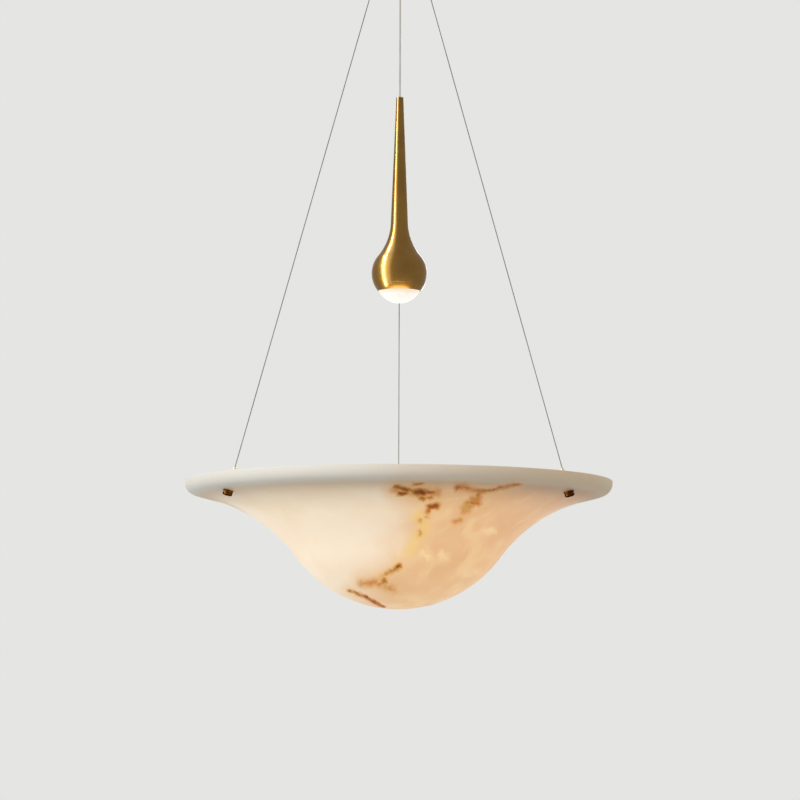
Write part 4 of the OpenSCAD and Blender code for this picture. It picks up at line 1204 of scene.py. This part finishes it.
# Curved strips of light that only brass and steel reflect. The front view sees each in the teardrop as one
# line at the same share of its half width all the way down: name, share, width in metres and radiance
STRIPS = [("strip", 0.56, 0.36, 36), ("soft_strip", 0.42, 0.9, 2.4)]
STRIP_SLOPES = (-40, -27, -14, 0, 14, 27, 40)
STRIP_AWAY = 2.4
STRIP_TARGET = Vector((0, 0, -0.66))
STRIP_COLOUR = (0.9, 0.96, 1)
# A strip that stands behind, for the views from the sides and from behind
REAR_STRIP = (0.3, 2.6, -0.4)
REAR_STRIP_SIZE = (0.36, 2.4)
REAR_STRIP_RADIANCE = 7
# The lit bottom of the bowl, as the lower edge of the spot reflects it
BOTTOM_GLOW = (0, 0, bowl_low.z + 0.15)
BOTTOM_SIZE = (0.42, 0.42)
BOTTOM_RADIANCE = 8.5
BOTTOM_COLOUR = (1, 0.93, 0.78)
SHINY_SLOTS = ("brass", "steel")


def make_lamp(name, place, target, size, level, colour, along, shiny=False):
    """An area lamp that the camera doesn't see, its height along an axis. Level is the share of a colour's
    written brightness that it adds at the target. A shiny one is there in reflections alone."""
    data = bpy.data.lights.new(name, "AREA")
    data.shape = "RECTANGLE"
    data.size, data.size_y = size
    data.color = colour
    lamp = add_object(name, data)
    back = Vector(place) - Vector(target)
    data.energy = level * math.pi ** 2 * back.length_squared
    back.normalize()
    side = Vector(along).cross(back).normalized()
    turn = Matrix((side, back.cross(side), back)).transposed()
    lamp.matrix_world = Matrix.Translation(place) @ turn.to_4x4()
    lamp.visible_camera = False
    lamp.visible_glossy = shiny
    lamp.visible_diffuse = not shiny
    return lamp


def shine(name, place, target, size, radiance, colour, along):
    """A shiny lamp of a given radiance, which lights the metal pieces alone."""
    away = Vector(place) - Vector(target)
    level = radiance * size[0] * size[1] / (math.pi * away.length_squared)
    lamp = make_lamp(name, place, target, size, level, colour, along, shiny=True)
    lamp.light_linking.receiver_collection = METAL


def make_strip(name, across, width, radiance):
    view = (camera_place() - STRIP_TARGET).normalized()
    turn = math.asin(across)
    points = []
    for slope in STRIP_SLOPES:
        up = math.radians(slope)
        normal = Vector((-math.sin(turn) * math.cos(up), -math.cos(turn) * math.cos(up), math.sin(up)))
        points.append(STRIP_TARGET + STRIP_AWAY * (2 * normal.dot(view) * normal - view))
    for i, (low, high) in enumerate(zip(points, points[1:])):
        size = (width, (high - low).length)
        shine(f"{name}_{i}", (low + high) / 2, STRIP_TARGET, size, radiance, STRIP_COLOUR, high - low)


def make_lamps():
    for name, (place, target, side, level, colour, along) in LAMPS.items():
        make_lamp(name, place, target, (side, side), level, colour, along)
    for strip in STRIPS:
        make_strip(*strip)
    shine("rear_strip", REAR_STRIP, STRIP_TARGET, REAR_STRIP_SIZE, REAR_STRIP_RADIANCE, STRIP_COLOUR, UP)
    shine("lit_bottom", BOTTOM_GLOW, LENS_PLACE, BOTTOM_SIZE, BOTTOM_RADIANCE, BOTTOM_COLOUR, BACK)


def metal_pieces(slots):
    """The collection of the brass and steel pieces, which alone the shiny lamps light."""
    metal = bpy.data.collections.new("metal")
    for piece, slot in slots.items():
        if slot in SHINY_SLOTS:
            metal.objects.link(piece)
    return metal


pieces = cords + [make_bowl(), make_teardrop(), make_bezel(), make_lens()]
pieces += [make_bush(side) for side in SIDES] + [make_spring(side) for side in SIDES]
slots = {frame["nodes"][part["node"]]: part["material_slot"] for part in frame["record"]["subparts"]}
slots.update({piece: piece["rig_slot"] for piece in pieces})
dress_everything(slots)
METAL = metal_pieces(slots)
make_floor()
make_world()
make_lamps()
bpy.context.scene.view_settings.view_transform = "Standard"
